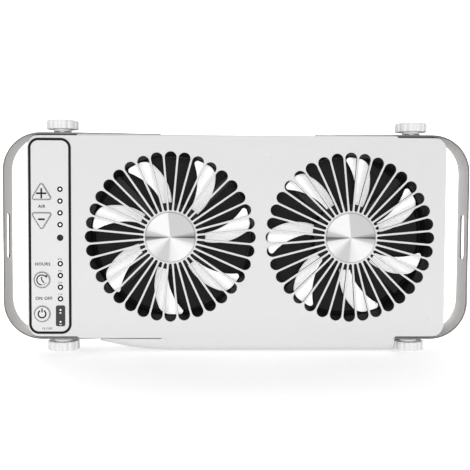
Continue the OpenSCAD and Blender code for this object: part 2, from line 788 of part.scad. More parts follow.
module fan_gaskets() color(dark) stand() at_fans() prism(fan_front_z, plate_back_z) difference() {
    rounded_rect(fan_size, fan_size, 5);
    circle(mouth_r, $fn = 96);
    for (sx = [-1, 1], sy = [-1, 1])
        translate([sx * fan_hole_pitch / 2, sy * fan_hole_pitch / 2]) circle(boss_r + boss_gap, $fn = 40);
}

// Fans

module fan_frame(x) color(dark) stand() translate([x, 0, 0]) {
    difference() {
        union() {
            prism(fan_front_z - flange_t, fan_front_z) rounded_rect(fan_size, fan_size, 5);
            prism(fan_back_z, fan_back_z + flange_t) rounded_rect(fan_size, fan_size, 5);
            prism(fan_back_z, fan_front_z) circle(duct_r + duct_t, $fn = 96);
        }
        prism(fan_back_z - cut, fan_front_z + cut) circle(duct_r, $fn = 96);
        rotate_extrude($fn = 96) polygon([
            [duct_r - 1, fan_front_z - mouth_d], [duct_r, fan_front_z - mouth_d],
            [mouth_r, fan_front_z], [mouth_r, fan_front_z + cut], [duct_r - 1, fan_front_z + cut]]);
        for (sx = [-1, 1], sy = [-1, 1])
            translate([sx * fan_hole_pitch / 2, sy * fan_hole_pitch / 2, 0])
                prism(fan_back_z - cut, fan_front_z + cut) circle(fan_hole_r, $fn = 32);
    }
    difference() {
        union() {
            prism(fan_back_z, base_front_z) circle(base_r);
            prism(fan_back_z, base_front_z + tube_h) circle(bearing_r + tube_t, $fn = 40);
            for (a = [45:90:315]) rotate(a)
                translate([base_r - 1, -strut_w / 2, fan_back_z])
                    cube([duct_r - base_r + 1.5, strut_w, strut_t]);
        }
        prism(fan_back_z - cut, base_front_z + tube_h + cut) circle(bearing_r, $fn = 40);
    }
}
module left_fan_frame() fan_frame(left_fan_x);
module right_fan_frame() fan_frame(right_fan_x);

// Half width and middle angle of a blade at a share u of its length, and a point on its edge there
function blade_half(u) = blade_arc / 2 * (0.88 + 0.12 * sin(min(90, 150 * u)))
    * (u > 1 - blade_round ? sqrt(1 - 0.7 * pow((u - 1 + blade_round) / blade_round, 2)) : 1);
function blade_angle(u) = blade_sweep * (pow(u, 1.5) - 0.3);
function blade_edge(u, side) =
    let (r = hub_r + (blade_r - hub_r) * u, a = blade_angle(u) + side * blade_half(u))
    [r * cos(a), r * sin(a)];

module blade_outline() {
    shares = [0, 0.2, 0.4, 0.55, 0.7, 0.8, 1 - blade_round, 1 - blade_round / 3, 1];
    n = len(shares) - 1;
    polygon(concat(
        [for (i = [0:n]) blade_edge(shares[i], -1)],
        [for (i = [n:-1:0]) blade_edge(shares[i], 1)]));
}

module blade() {
    intersection() {
        prism(-blade_d / 2, blade_d / 2) blade_outline();
        translate([0, blade_camber_r * sin(blade_pitch), -blade_camber_r * cos(blade_pitch)])
            rotate([0, 90, 0])
                tube(blade_camber_r + blade_t / 2, blade_camber_r - blade_t / 2, 0, blade_r + 1, $fn = 96);
    }
}

module impeller(x, turn) color(white) stand() translate([x, 0, 0]) rotate(turn) {
    for (i = [0:blade_count - 1]) rotate(i * 360 / blade_count) translate([0, 0, blade_mid_z]) difference() {
        blade();
        prism(-blade_d, blade_d) circle(hub_r + sleeve_t / 2, $fn = 96);
    }
    tube(hub_r + sleeve_t, hub_r, hub_back_z + 0.5, hub_front_z - hub_rim_t, $fn = 96);
}
module left_impeller() impeller(left_fan_x, left_turn);
module right_impeller() impeller(right_fan_x, right_turn);

module rotor_hub(x) color(dark) stand() translate([x, 0, 0]) difference() {
    rotate_extrude($fn = 96) polygon([
        [0, hub_back_z], [hub_r, hub_back_z], [hub_r, hub_front_z - hub_rim_t],
        [hub_r + hub_rim, hub_front_z - hub_rim_t], [hub_r + hub_rim, hub_front_z - hub_rim_t / 2],
        [hub_r + hub_rim - hub_rim_t / 2, hub_front_z], [0, hub_front_z]]);
    prism(hub_back_z - cut, hub_front_z - hub_face_t) circle(hub_r - hub_wall, $fn = 96);
    prism(hub_back_z, hub_front_z - 1) circle(shaft_r, $fn = 32);
}
module left_rotor_hub() rotor_hub(left_fan_x);
module right_rotor_hub() rotor_hub(right_fan_x);

module shaft(x) color(steel) stand() translate([x, 0, 0])
    prism(fan_back_z + 1, hub_front_z - 1) circle(shaft_r, $fn = 32);
module left_shaft() shaft(left_fan_x);
module right_shaft() shaft(right_fan_x);

module shaft_clip(x) color(steel) stand() translate([x, 0, 0])
    tube(clip_r, shaft_r, fan_back_z + 1.4, fan_back_z + 1.4 + clip_t, $fn = 32);
module left_shaft_clip() shaft_clip(left_fan_x);
module right_shaft_clip() shaft_clip(right_fan_x);

module rotor_magnet(x) color(dark) stand() translate([x, 0, 0])
    tube(hub_r - hub_wall, stator_r + air_gap, hub_back_z + 1, hub_back_z + 1 + magnet_h, $fn = 96);
module left_rotor_magnet() rotor_magnet(left_fan_x);
module right_rotor_magnet() rotor_magnet(right_fan_x);

module shaft_bearings() color(steel) stand() at_fans() {
    low = fan_back_z + 1.4 + clip_t + 0.2;
    tube(bearing_r, bearing_bore_r, low, low + bearing_w, $fn = 40);
    tube(bearing_r, bearing_bore_r, base_front_z + tube_h - bearing_w, base_front_z + tube_h, $fn = 40);
}

stator_mid_z = base_front_z + tube_h / 2 + 1.5;
winding_over = 1.4;

module motor_stators() color(steel) stand() at_fans()
    prism(stator_mid_z - stator_h / 2, stator_mid_z + stator_h / 2) difference() {
        union() {
            circle(bearing_r + tube_t + 2.5, $fn = 48);
            for (a = [0:90:270]) rotate(a) translate([0, -3]) square([stator_r - 2.5, 6]);
            intersection() {
                difference() {
                    circle(stator_r);
                    circle(stator_r - 2.5);
                }
                for (a = [0:90:270]) rotate(a) translate([0, -10.5]) square([stator_r + 1, 21]);
            }
        }
        circle(bearing_r + tube_t, $fn = 40);
    }

module motor_windings() color(copper) stand() at_fans() for (a = [0:90:270]) rotate(a) {
    x0 = bearing_r + tube_t + 3;
    x1 = stator_r - 3;
    difference() {
        translate([x0, -3 - winding_over, stator_mid_z - stator_h / 2 - winding_over])
            cube([x1 - x0, 6 + 2 * winding_over, stator_h + 2 * winding_over]);
        translate([x0 - cut, -3, stator_mid_z - stator_h / 2]) cube([x1 - x0 + 2 * cut, 6, stator_h]);
    }
}

module motor_ring_boards() color(green) stand() at_fans()
    tube(base_r - 1.5, bearing_r + tube_t, base_front_z, base_front_z + ring_board_t);

// Straps and clamps

// Both straps at once, as one band round the body, before it is cut apart
module band_view() difference() {
    rounded_rect(overall_w, 2 * strap_out_y, strap_bend_r);
    rounded_rect(overall_w - 2 * strap_t, 2 * strap_in_y, strap_bend_r - strap_t);
}

// A strap from above: x is along the leg and y is the width
module strap_plan() {
    taper_x = step_x - 3;
    translate([taper_x, -strap_w / 2]) square([overall_w / 2 - taper_x + 1, strap_w]);
    polygon([[taper_x, -strap_w / 2], [taper_x, strap_w / 2],
             [strap_tip_x + strap_tip_r, strap_tip_r], [strap_tip_x + strap_tip_r, -strap_tip_r]]);
    translate([strap_tip_x + strap_tip_r, 0]) circle(strap_tip_r);
}

module strap(side) color(steel) stand() scale([side, 1, 1]) difference() {
    intersection() {
        prism(strap_front_z - strap_w, strap_front_z) band_view();
        translate([0, strap_out_y + 1, strap_mid_z]) rotate([90, 0, 0])
            linear_extrude(2 * strap_out_y + 2) strap_plan();
    }
    translate([0, strap_out_y + 1, strap_mid_z]) rotate([90, 0, 0]) linear_extrude(2 * strap_out_y + 2)
        long_slot(stud_x - strap_travel - stud_r - slot_gap, stud_x + stud_r + slot_gap,
                  2 * (stud_r + slot_gap));
    translate([overall_w / 2 - 2 * strap_t, 0, strap_mid_z]) rotate([0, 90, 0]) linear_extrude(3 * strap_t)
        rotate(90) long_slot(-end_slot_l / 2, end_slot_l / 2, end_slot_w);
}
module left_strap() strap(-1);
module right_strap() strap(1);

// Puts a clamp part, drawn upwards along z from the middle of the body, at one of the four studs
module at_stud(sx, sy) translate([sx * stud_x, 0, strap_mid_z]) rotate([sy > 0 ? -90 : 90, 0, 0]) children();

module knob(sx, sy) color(white) stand() at_stud(sx, sy) difference() {
    union() {
        prism(knob_y, knob_y + neck_h + 0.1) circle(neck_r);
        intersection() {
            prism(knob_y + neck_h, knob_top_y) difference() {
                circle(knob_r);
                for (i = [0:knob_flutes - 1]) rotate(i * 360 / knob_flutes)
                    translate([knob_r + flute_r - flute_depth, 0]) circle(flute_r, $fn = 32);
            }
            rotate_extrude() polygon([
                [0, knob_y + neck_h], [knob_r - knob_bevel / 2, knob_y + neck_h],
                [knob_r, knob_y + neck_h + knob_bevel / 2], [knob_r, knob_top_y - knob_bevel],
                [knob_r - knob_bevel, knob_top_y], [0, knob_top_y]]);
        }
    }
    prism(knob_y - cut, knob_top_y - 3) circle(stud_r, $fn = 40);
}
module upper_left_knob() knob(-1, 1);
module upper_right_knob() knob(1, 1);
module lower_left_knob() knob(-1, -1);
module lower_right_knob() knob(1, -1);

module stud(sx, sy) color(steel) stand() at_stud(sx, sy)
    prism(strap_in_y - stud_l, knob_top_y - 3) circle(stud_r, $fn = 40);
module upper_left_stud() stud(-1, 1);
module upper_right_stud() stud(1, 1);
module lower_left_stud() stud(-1, -1);
module lower_right_stud() stud(1, -1);

module washer(sx, sy) color(steel) stand() at_stud(sx, sy)
    tube(washer_r, stud_r + 0.2, washer_y, washer_y + washer_t);
module upper_left_washer() washer(-1, 1);
module upper_right_washer() washer(1, 1);
module lower_left_washer() washer(-1, -1);
module lower_right_washer() washer(1, -1);

module strap_pads() color(dark) stand() {
    z0 = seat_back_z + pad_gap;
    for (sx = [-1, 1], sy = [-1, 1]) scale([sx, sy, 1]) difference() {
        translate([step_x + step_slant + pad_gap, seat_y, z0])
            cube([body_w / 2 - corner_r - step_x - step_slant - pad_gap, seat_drop, strap_front_z - z0]);
        translate([stud_x, seat_y - cut, strap_mid_z]) rotate([-90, 0, 0])
            cylinder(r = insert_r, h = seat_drop + 2 * cut, $fn = 40);
    }
}

module threaded_inserts() color(brassy) stand() for (sx = [-1, 1], sy = [-1, 1]) at_stud(sx, sy)
    tube(insert_r, stud_r + stud_gap, seat_y - insert_l, seat_y, $fn = 40);

// Control panel

module panel_holes(z0, z1) {
    for (i = [0:3]) prism(z0, z1) button_outline(i, button_gap);
    for (y = light_ys) translate([light_x, y, 0]) prism(z0, z1) circle(light_ring_r, $fn = 32);
    translate([light_x, window_y, 0]) prism(z0, z1) circle(window_r, $fn = 32);
    translate([light_x, flow_y, 0]) prism(z0, z1) rounded_rect(flow_w, flow_h, 1);
}

module panel_border() color(dark) stand() translate([panel_x, 0, 0])
    prism(face_back_z, face_front_z + 0.1) difference() {
        rounded_rect(panel_w, panel_h, panel_r);
        rounded_rect(panel_w - 2 * border_w, panel_h - 2 * border_w, panel_r - border_w);
    }

module panel_face() color(shell) stand() difference() {
    translate([panel_x, 0, 0]) prism(face_back_z, face_front_z)
        rounded_rect(panel_w - 2 * border_w, panel_h - 2 * border_w, panel_r - border_w);
    panel_holes(face_back_z - cut, face_front_z + cut);
}

module button(i) color(shell) stand() {
    prism(plate_back_z - 0.2, button_front_z) button_outline(i, 0);
    prism(plate_back_z - 1.2, plate_back_z - 0.2) intersection() {
        button_outline(i, button_flange);
        translate([-wall_in_x + button_gap, -body_h / 2]) square([panel_w, body_h]);
    }
    translate([button_x, button_ys[i], 0])
        prism(board_front_z + switch_h - 0.9, plate_back_z - 1.2) circle(plunger_r, $fn = 32);
}
module plus_button() button(0);
module minus_button() button(1);
module timer_button() button(2);
module power_button() button(3);

module indicator_lights() color(white) stand() for (y = light_ys) translate([light_x, y, 0]) {
    prism(board_front_z, face_front_z + 0.1) circle(light_r, $fn = 24);
    prism(board_front_z, board_front_z + 1) circle(light_r + 0.5, $fn = 24);
}

module indicator_rings() color(dark) stand() for (y = light_ys) translate([light_x, y, 0])
    tube(light_ring_r, light_r, face_back_z, face_front_z + 0.1, $fn = 32);

module receiver_window() color(dark) stand() translate([light_x, window_y, 0])
    prism(board_front_z, face_front_z + 0.1) circle(window_r, $fn = 32);

module airflow_indicator() color(dark) stand() translate([light_x, flow_y, 0]) difference() {
    prism(plate_back_z - 1, face_front_z + 0.3) rounded_rect(flow_w, flow_h, 1);
    for (y = flow_ys) translate([0, y - flow_y, 0])
        prism(plate_back_z - 1 - cut, face_front_z + 1) circle(flow_light_r, $fn = 24);
}

module airflow_lights() color(white) stand() for (y = flow_ys) translate([light_x, y, 0])
    prism(board_front_z, face_front_z + 0.4) circle(flow_light_r, $fn = 24);

module control_board() color(green) stand() difference() {
    translate([board_x, 0, 0]) prism(board_back_z, board_front_z) square([board_w, board_h], center = true);
    for (p = board_spots) translate(p)
        prism(board_back_z - cut, board_front_z + cut) circle(small_screw_r, $fn = 24);
}

module push_switches() color(dark) stand() for (y = button_ys) translate([button_x, y, 0]) difference() {
    prism(board_front_z, board_front_z + switch_h) square(switch_w, center = true);
    prism(board_front_z + switch_h - 1.8, board_front_z + switch_h + cut) circle(plunger_r + 0.15, $fn = 32);
}

module board_screws() color(steel) stand() for (p = board_spots) translate(p) {
    prism(board_back_z - 1.5, plate_back_z - 1) circle(small_screw_r, $fn = 24);
    prism(board_back_z - 1.5, board_back_z) circle(2 * small_screw_r, $fn = 32);
}

// Inlet, leads and screws

module power_inlet() color(dark) stand() translate([inlet_x, inlet_y, 0]) difference() {
    union() {
        prism(back_z, inlet_front_z) circle(inlet_r);
        prism(back_in_z, back_in_z + 2) circle(inlet_r + 1.5);
    }
    prism(back_z - cut, back_z + socket_d) circle(socket_r, $fn = 40);
    prism(back_z, back_z + socket_d + 1) circle(inlet_pin_r, $fn = 24);
}

module inlet_pin() color(brassy) stand() translate([inlet_x, inlet_y, 0])
    prism(back_z + 1, back_z + socket_d + 1) circle(inlet_pin_r, $fn = 24);

// A smooth tube of 8 sides along points: a ring at each point, square to the path there
function unit(v) = v / norm(v);
function tangent(p, i) = unit(p[min(i + 1, len(p) - 1)] - p[max(i - 1, 0)]);
function side_of(t) = unit(cross(t, abs(t[0]) < 0.9 ? [1, 0, 0] : [0, 1, 0]));
function carried(p, i) = i == 0 ? side_of(tangent(p, 0)) :
    let (s = carried(p, i - 1), t = tangent(p, i)) unit(s - (s * t) * t);
module lead(points) {
    n = 8;
    rings = [for (i = [0:len(points) - 1])
        let (t = tangent(points, i), s = carried(points, i), u = cross(t, s))
        for (k = [0:n - 1]) points[i] + lead_r * (cos(k * 360 / n) * s + sin(k * 360 / n) * u)];
    last = (len(points) - 1) * n;
    polyhedron(points = rings, faces = concat(
        [[for (k = [n - 1:-1:0]) k]], [[for (k = [0:n - 1]) last + k]],
        [for (i = [0:len(points) - 2], k = [0:n - 1])
            [i * n + k, i * n + (k + 1) % n, (i + 1) * n + (k + 1) % n, (i + 1) * n + k]]));
}

// A path through corners, with each corner rounded by a quarter curve of radius r
function rounded_path(c, r) = concat([c[0]],
    [for (i = [1:len(c) - 2])
        let (a = unit(c[i - 1] - c[i]), b = unit(c[i + 1] - c[i]))
        for (k = [0:3]) let (w = k * 30) c[i] + r * (1 - sin(w)) * a + r * (1 - cos(w)) * b],
    [c[len(c) - 1]]);

lead_z = (fan_back_z + back_in_z) / 2;
lead_y = -(collar_r + collar_t + lead_r + 0.8);
lead_in = fan_size / 2 - 4;
lead_start_y = -board_h / 2 + lead_r + 1;
module inside_leads() color(dark) stand() {
    lead(rounded_path([
        [board_x + 6, lead_y + 6, board_back_z], [board_x + 6, lead_y + 6, lead_z],
        [left_fan_x - lead_in, lead_y + 6, lead_z], [left_fan_x - lead_in, 20 - fan_size / 2, lead_z],
        [left_fan_x - lead_in, 20 - fan_size / 2, fan_back_z]], 2));
    lead(rounded_path([
        [board_x, lead_start_y, board_back_z], [board_x, lead_start_y, lead_z],
        [board_x + 10, lead_y, lead_z],
        [screw_xs[1] - 10, lead_y, lead_z], [screw_xs[1] - 10, lead_y + 6, lead_z],
        [right_fan_x - lead_in, lead_y + 6, lead_z], [right_fan_x - lead_in, 20 - fan_size / 2, lead_z],
        [right_fan_x - lead_in, 20 - fan_size / 2, fan_back_z]], 2));
    lead([[inlet_x, inlet_y, inlet_front_z], [inlet_x, inlet_y, (inlet_front_z + board_back_z) / 2],
          [inlet_x, inlet_y, board_back_z]]);
}

module body_screws() color(steel) stand() for (x = screw_xs, s = [-1, 1]) translate([x, s * screw_y, 0]) {
    prism(back_z + 1 + screw_head_h, plate_back_z - 1) circle(screw_r, $fn = 32);
    prism(back_z + 1, back_z + 1 + screw_head_h) circle(screw_head_r, $fn = 40);
}

front_cover();
rear_housing();
left_hub_cap();
right_hub_cap();
fan_gaskets();
filter_pads();
left_fan_frame();
right_fan_frame();
left_impeller();
right_impeller();
left_rotor_hub();
right_rotor_hub();
left_shaft();
right_shaft();
left_shaft_clip();
right_shaft_clip();
left_rotor_magnet();
right_rotor_magnet();
shaft_bearings();
motor_stators();
motor_windings();
motor_ring_boards();
left_strap();
right_strap();
upper_left_knob();
upper_right_knob();
lower_left_knob();
lower_right_knob();
upper_left_stud();
upper_right_stud();
lower_left_stud();
lower_right_stud();
upper_left_washer();
upper_right_washer();
lower_left_washer();
lower_right_washer();
strap_pads();
threaded_inserts();
panel_border();
panel_face();
plus_button();
minus_button();
timer_button();
power_button();
indicator_lights();
indicator_rings();
receiver_window();
airflow_indicator();
airflow_lights();
control_board();
push_switches();
board_screws();
power_inlet();
inlet_pin();
inside_leads();
body_screws();
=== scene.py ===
import json
import math
import bpy
import numpy as np
from mathutils import Matrix, Vector
from mathutils.geometry import delaunay_2d_cdt


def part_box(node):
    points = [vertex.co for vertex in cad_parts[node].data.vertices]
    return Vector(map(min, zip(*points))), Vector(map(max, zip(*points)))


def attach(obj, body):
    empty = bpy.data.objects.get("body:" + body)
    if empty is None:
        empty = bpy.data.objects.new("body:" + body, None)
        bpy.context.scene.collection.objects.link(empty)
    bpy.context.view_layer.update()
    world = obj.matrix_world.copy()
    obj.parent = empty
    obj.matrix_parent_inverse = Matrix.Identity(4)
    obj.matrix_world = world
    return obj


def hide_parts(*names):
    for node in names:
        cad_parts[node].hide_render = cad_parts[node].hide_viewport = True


# Roof vent fan: shapes are drawn in millimetres as seen from the front (x right, y up, z forward)
# and stood up into the frame, whose front faces -Y and whose top faces +Z.

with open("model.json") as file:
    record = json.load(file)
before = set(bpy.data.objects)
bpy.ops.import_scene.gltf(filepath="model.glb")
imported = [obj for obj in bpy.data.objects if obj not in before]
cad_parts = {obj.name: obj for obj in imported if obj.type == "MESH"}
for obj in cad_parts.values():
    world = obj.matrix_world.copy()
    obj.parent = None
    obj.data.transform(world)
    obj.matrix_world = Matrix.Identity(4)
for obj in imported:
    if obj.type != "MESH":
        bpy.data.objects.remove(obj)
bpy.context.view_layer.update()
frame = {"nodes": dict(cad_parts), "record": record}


def boxMm(node):
    # a node's box in millimetres: (left, right), (bottom, top), (front, back)
    low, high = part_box(node)
    return [(low[i] * 1000, high[i] * 1000) for i in (0, 2, 1)]


body = {"width": 339, "height": 165, "depth": 50, "plate": 3, "wall": 3.5, "corner": 10, "seatDrop": 1.4,
        "stepX": 128, "slant": 2}
frontZ, backZ = body["depth"] / 2, -body["depth"] / 2
plateBackZ = frontZ - body["plate"]
middleDepth = boxMm("rear_housing")[2][1] + backZ  # where the drawings' z = 0 lies along the frame's Y
fanX = {side: sum(boxMm(side + "_hub_cap")[0]) / 2 for side in ("left", "right")}


def stand(points):
    # drawing millimetres to frame metres
    points = np.asarray(points, float)
    return np.stack([points[..., 0], middleDepth - points[..., 2], points[..., 1]], -1) / 1000


def turned(normals):
    # the same turn for directions
    normals = np.asarray(normals, float)
    return np.stack([normals[..., 0], -normals[..., 2], normals[..., 1]], -1)


# Mesh helpers

def newObject(name, data):
    made = bpy.data.objects.new(name, data)
    bpy.context.scene.collection.objects.link(made)
    return made


def addMesh(name, points, faces, normals=None, sharp=32, uv=None):
    # points in drawing millimetres; given normals are kept, else edges over the sharp angle stay crisp
    mesh = bpy.data.meshes.new(name)
    mesh.from_pydata(stand(points).tolist(), [], [list(f) for f in faces])
    mesh.shade_smooth()
    mesh.update()
    if uv is not None:
        corners = np.zeros(len(mesh.loops), int)
        mesh.loops.foreach_get("vertex_index", corners)
        mesh.uv_layers.new(name="along").data.foreach_set("uv", np.asarray(uv, float)[corners].ravel())
    if normals is None:
        mesh.set_sharp_from_angle(angle=math.radians(sharp))
    else:
        mesh.normals_split_custom_set_from_vertices(turned(normals).tolist())
    return newObject(name, mesh)


def vectors(items, key):
    # a vector of each item, as rows
    values = np.zeros(len(items) * 3)
    items.foreach_get(key, values)
    return values.reshape(-1, 3)


def joined(*parts):
    # several (points, faces, normals) parts as one
    points, faces, normals, start = [], [], [], 0
    for p, f, n in parts:
        points.append(np.asarray(p, float))
        normals.append(np.asarray(n, float))
        faces += [[i + start for i in face] for face in f]
        start += len(p)
    return np.concatenate(points), faces, np.concatenate(normals)


def joinedSolids(solids):
    # (points, faces) parts as one, for pieces whose normals come from their faces
    return joined(*[(points, faces, points) for points, faces in solids])[:2]


def gridFaces(rows, columns):
    # quads between neighbouring rows of a grid whose columns go all round
    a, b = np.meshgrid(np.arange(rows - 1), np.arange(columns), indexing="ij")
    here, after = a * columns + b, a * columns + (b + 1) % columns
    return np.stack([here, here + columns, after + columns, after], -1).reshape(-1, 4)


def endFaces(rows, columns):
    # one face over a grid's first row and one over its last
    return [list(range(columns)), list(range((rows - 1) * columns, rows * columns))[::-1]]


def closingFaces(rows, columns):
    # quads from the last row back to the first, which close a ring-shaped section
    j = np.arange(columns)
    last = (rows - 1) * columns
    return np.stack([last + j, j, (j + 1) % columns, last + (j + 1) % columns], 1)


def poleFaces(row, columns, pole, flip=False):
    # triangles from one row of a grid to a point in its middle
    j = np.arange(columns)
    around = np.stack([row * columns + j, row * columns + (j + 1) % columns, np.full(columns, pole)], 1)
    return (around[:, ::-1] if flip else around).tolist()


def turnedOut(points, faces):
    # faces flipped if the solid they close has a negative volume: each face is a fan of triangles, and a sum
    # of a . (b x c) over all of them is six times the volume
    volume = 0
    for size in {len(f) for f in faces}:
        corners = np.asarray(points)[np.array([f for f in faces if len(f) == size])]
        volume += (corners[:, :1] * np.cross(corners[:, 1:-1], corners[:, 2:])).sum()
    return [list(f)[::-1] for f in faces] if volume < 0 else [list(f) for f in faces]


def arc(cx, cy, r, start, end, count=12):
    # points on a circle from one angle to another, in degrees
    a = np.radians(np.linspace(start, end, count))
    return np.stack([cx + r * np.cos(a), cy + r * np.sin(a)], 1)


def ring(r, count=48, cx=0, cy=0):
    return arc(cx, cy, r, 0, 360 - 360 / count, count)


def roundedRect(w, h, r, cx=0, cy=0, count=9):
    # counter-clockwise outline with quarter arcs at the corners
    x, y = w / 2 - r, h / 2 - r
    return np.concatenate([arc(cx + sx * x, cy + sy * y, r, a, a + 90, count)
                           for sx, sy, a in ((1, -1, -90), (1, 1, 0), (-1, 1, 90), (-1, -1, 180))])


def spun(line, degrees, cx=0, cy=0):
    # an outline turned about the origin and moved to a centre: x' = x cos - y sin, y' = x sin + y cos
    c, s = math.cos(math.radians(degrees)), math.sin(math.radians(degrees))
    return np.stack([cx + line[:, 0] * c - line[:, 1] * s, cy + line[:, 0] * s + line[:, 1] * c], 1)


def dense(points, step):
    # sides longer than the step are split evenly
    ahead = np.roll(points, -1, axis=0) - points
    counts = np.maximum(1, np.ceil(np.linalg.norm(ahead, axis=1) / step)).astype(int)
    index = np.arange(counts.sum()) - np.repeat(np.cumsum(counts) - counts, counts)
    share = index / np.repeat(counts, counts)
    return np.repeat(points, counts, axis=0) + np.repeat(ahead, counts, axis=0) * share[:, None]


def sideways(loop):
    # directions out of the material at each point of a loop, as long as a mitre needs and of length one
    ahead = np.roll(loop, -1, axis=0) - loop
    ahead /= np.maximum(np.linalg.norm(ahead, axis=1), 1e-9)[:, None]
    out = np.stack([ahead[:, 1], -ahead[:, 0]], 1)
    both = out + np.roll(out, 1, axis=0)
    both /= np.maximum(np.linalg.norm(both, axis=1), 1e-9)[:, None]
    return both / np.maximum((both * out).sum(1), 0.6)[:, None], both


def filled(loops, extra):
    # triangles inside the first loop and outside the others, as indices into the loops' points, the extra
    # points and new ones in turn; the new points come second
    known = np.concatenate([*loops, extra])
    sizes = np.array([len(loop) for loop in loops])
    starts = np.repeat(np.cumsum(sizes) - sizes, sizes)
    here = np.arange(sizes.sum())
    follow = starts + (here + 1 - starts) % np.repeat(sizes, sizes)
    got = delaunay_2d_cdt(known.tolist(), np.stack([here, follow], 1).tolist(), [], 0, 1e-7)
    place, triangles = np.array([tuple(v) for v in got[0]]), np.array(got[2])
    source = np.array([o[0] if o else -1 for o in got[3]])
    new = source < 0
    index = np.where(new, len(known) + np.cumsum(new) - 1, source)
    # a triangle stays when a line from its middle crosses the loops an odd number of times
    middle = place[triangles].mean(1)
    a, b = known[here, None], known[follow, None]
    spans = (a[..., 1] > middle[:, 1]) != (b[..., 1] > middle[:, 1])
    rise = np.where(np.abs(b[..., 1] - a[..., 1]) < 1e-12, 1e-12, b[..., 1] - a[..., 1])
    across = middle[:, 0] < (b[..., 0] - a[..., 0]) * (middle[:, 1] - a[..., 1]) / rise + a[..., 0]
    inside = (spans & across).sum(0) % 2 == 1
    return index[triangles[inside]], place[new]


def plate(outline, holes, zFront, zBack, edge, backEdge=None, rise=None, extra=(), steps=3):
    # a flat part: every loop is an edge profile (a quarter circle, the wall, a quarter circle)
    # carried along it, and both faces are filled; rise(x, y) lifts the points
    backEdge = edge if backEdge is None else backEdge
    extra = np.asarray(extra, float).reshape(-1, 2)
    loops = [np.asarray(outline, float)] + [np.asarray(h, float)[::-1] for h in holes]
    a = np.linspace(0, np.pi / 2, steps + 1)
    inset = np.concatenate([edge * (1 - np.sin(a)), backEdge * (1 - np.cos(a))])
    z = np.concatenate([zFront - edge * (1 - np.cos(a)), zBack + backEdge * (1 - np.sin(a))])
    out = np.concatenate([np.sin(a), np.cos(a)])
    up = np.concatenate([np.cos(a), -np.sin(a)])
    rows = len(z)
    parts, fronts, backs, place, start = [], [], [], [], 0
    for loop in loops:
        n = len(loop)
        mitre, side = sideways(loop)
        flat = loop[None] - inset[:, None, None] * mitre[None]
        points = np.concatenate([flat, np.broadcast_to(z[:, None, None], (rows, n, 1))], -1)
        normals = np.concatenate([side[None] * out[:, None, None],
                                  np.broadcast_to(up[:, None, None], (rows, n, 1))], -1)
        parts.append((points.reshape(-1, 3), gridFaces(rows, n), normals.reshape(-1, 3)))
        fronts.append(flat[0])
        backs.append(flat[-1])
        place.append((start, n))
        start += rows * n
    points, faces, normals = joined(*parts)
    for loopSet, row, level, facing in ((fronts, 0, zFront, 1), (backs, rows - 1, zBack, -1)):
        triangles, new = filled(loopSet, extra)
        known = np.concatenate([s + row * n + np.arange(n) for s, n in place])
        more = np.concatenate([extra, new])
        index = np.concatenate([known, len(points) + np.arange(len(more))]).astype(int)
        points = np.concatenate([points, np.column_stack([more, np.full(len(more), level)])])
        normals = np.concatenate([normals, np.tile([0, 0, float(facing)], (len(more), 1))])
        faces += index[triangles[:, ::facing]].tolist()
    if rise is not None:
        points[:, 2] += rise(points[:, 0], points[:, 1])
    return points, faces, normals


def lathe(profile, count=96, cx=0, cy=0):
    # a profile of (radius, depth) turned about the depth axis; ends on the axis become one point
    profile = np.asarray(profile, float)
    a = np.linspace(0, 2 * np.pi, count, endpoint=False)
    inner = profile[profile[:, 0] > 1e-6]
    r, z = inner[:, 0], inner[:, 1]
    points = np.stack([cx + r[:, None] * np.cos(a), cy + r[:, None] * np.sin(a),
                       np.broadcast_to(z[:, None], (len(r), count))], -1).reshape(-1, 3)
    faces = gridFaces(len(r), count).tolist()
    for end, row in ((0, 0), (-1, len(r) - 1)):
        if profile[end, 0] <= 1e-6:
            faces += poleFaces(row, count, len(points), flip=end != 0)
            points = np.concatenate([points, [[cx, cy, profile[end, 1]]]])
    if profile[0, 0] > 1e-6 and profile[-1, 0] > 1e-6:
        faces += closingFaces(len(r), count).tolist()
    return points, faces


def slopeTo(rise, points, normals):
    # normals of a surface that rise(x, y) has lifted: each loses its depth share times the slope
    step = 0.05
    x, y = points[:, 0], points[:, 1]
    gx = (rise(x + step, y) - rise(x - step, y)) / (2 * step)
    gy = (rise(x, y + step) - rise(x, y - step)) / (2 * step)
    out = normals - np.column_stack([gx, gy, np.zeros_like(gx)]) * normals[:, 2:]
    return out / np.linalg.norm(out, axis=1)[:, None]


# Materials

def grey(level):
    # a display level from 0 to 255 as a linear value
    v = level / 255
    return v / 12.92 if v <= 0.04045 else ((v + 0.055) / 1.055) ** 2.4


def newMaterial(name, color, roughness, metal, sockets):
    material = bpy.data.materials.new(name)
    material.use_nodes = True
    values = {"Base Color": (*color, 1), "Roughness": roughness, "Metallic": metal, **sockets}
    for key, value in values.items():
        material.node_tree.nodes["Principled BSDF"].inputs[key].default_value = value
    return material


def addNode(material, kind, inputs=None, **options):
    # a shader node with its options, and with values or other nodes' outputs in its sockets
    node = material.node_tree.nodes.new("ShaderNode" + kind)
    for key, value in options.items():
        setattr(node, key, value)
    for key, value in (inputs or {}).items():
        if isinstance(value, bpy.types.NodeSocket):
            material.node_tree.links.new(value, node.inputs[key])
        else:
            node.inputs[key].default_value = value
    return node


def link(material, output, socket):
    material.node_tree.links.new(output, material.node_tree.nodes["Principled BSDF"].inputs[socket])


socketNames = {"specular": "Specular IOR Level", "coat": "Coat Weight", "brushed": "Anisotropic",
               "glow": "Emission Strength"}


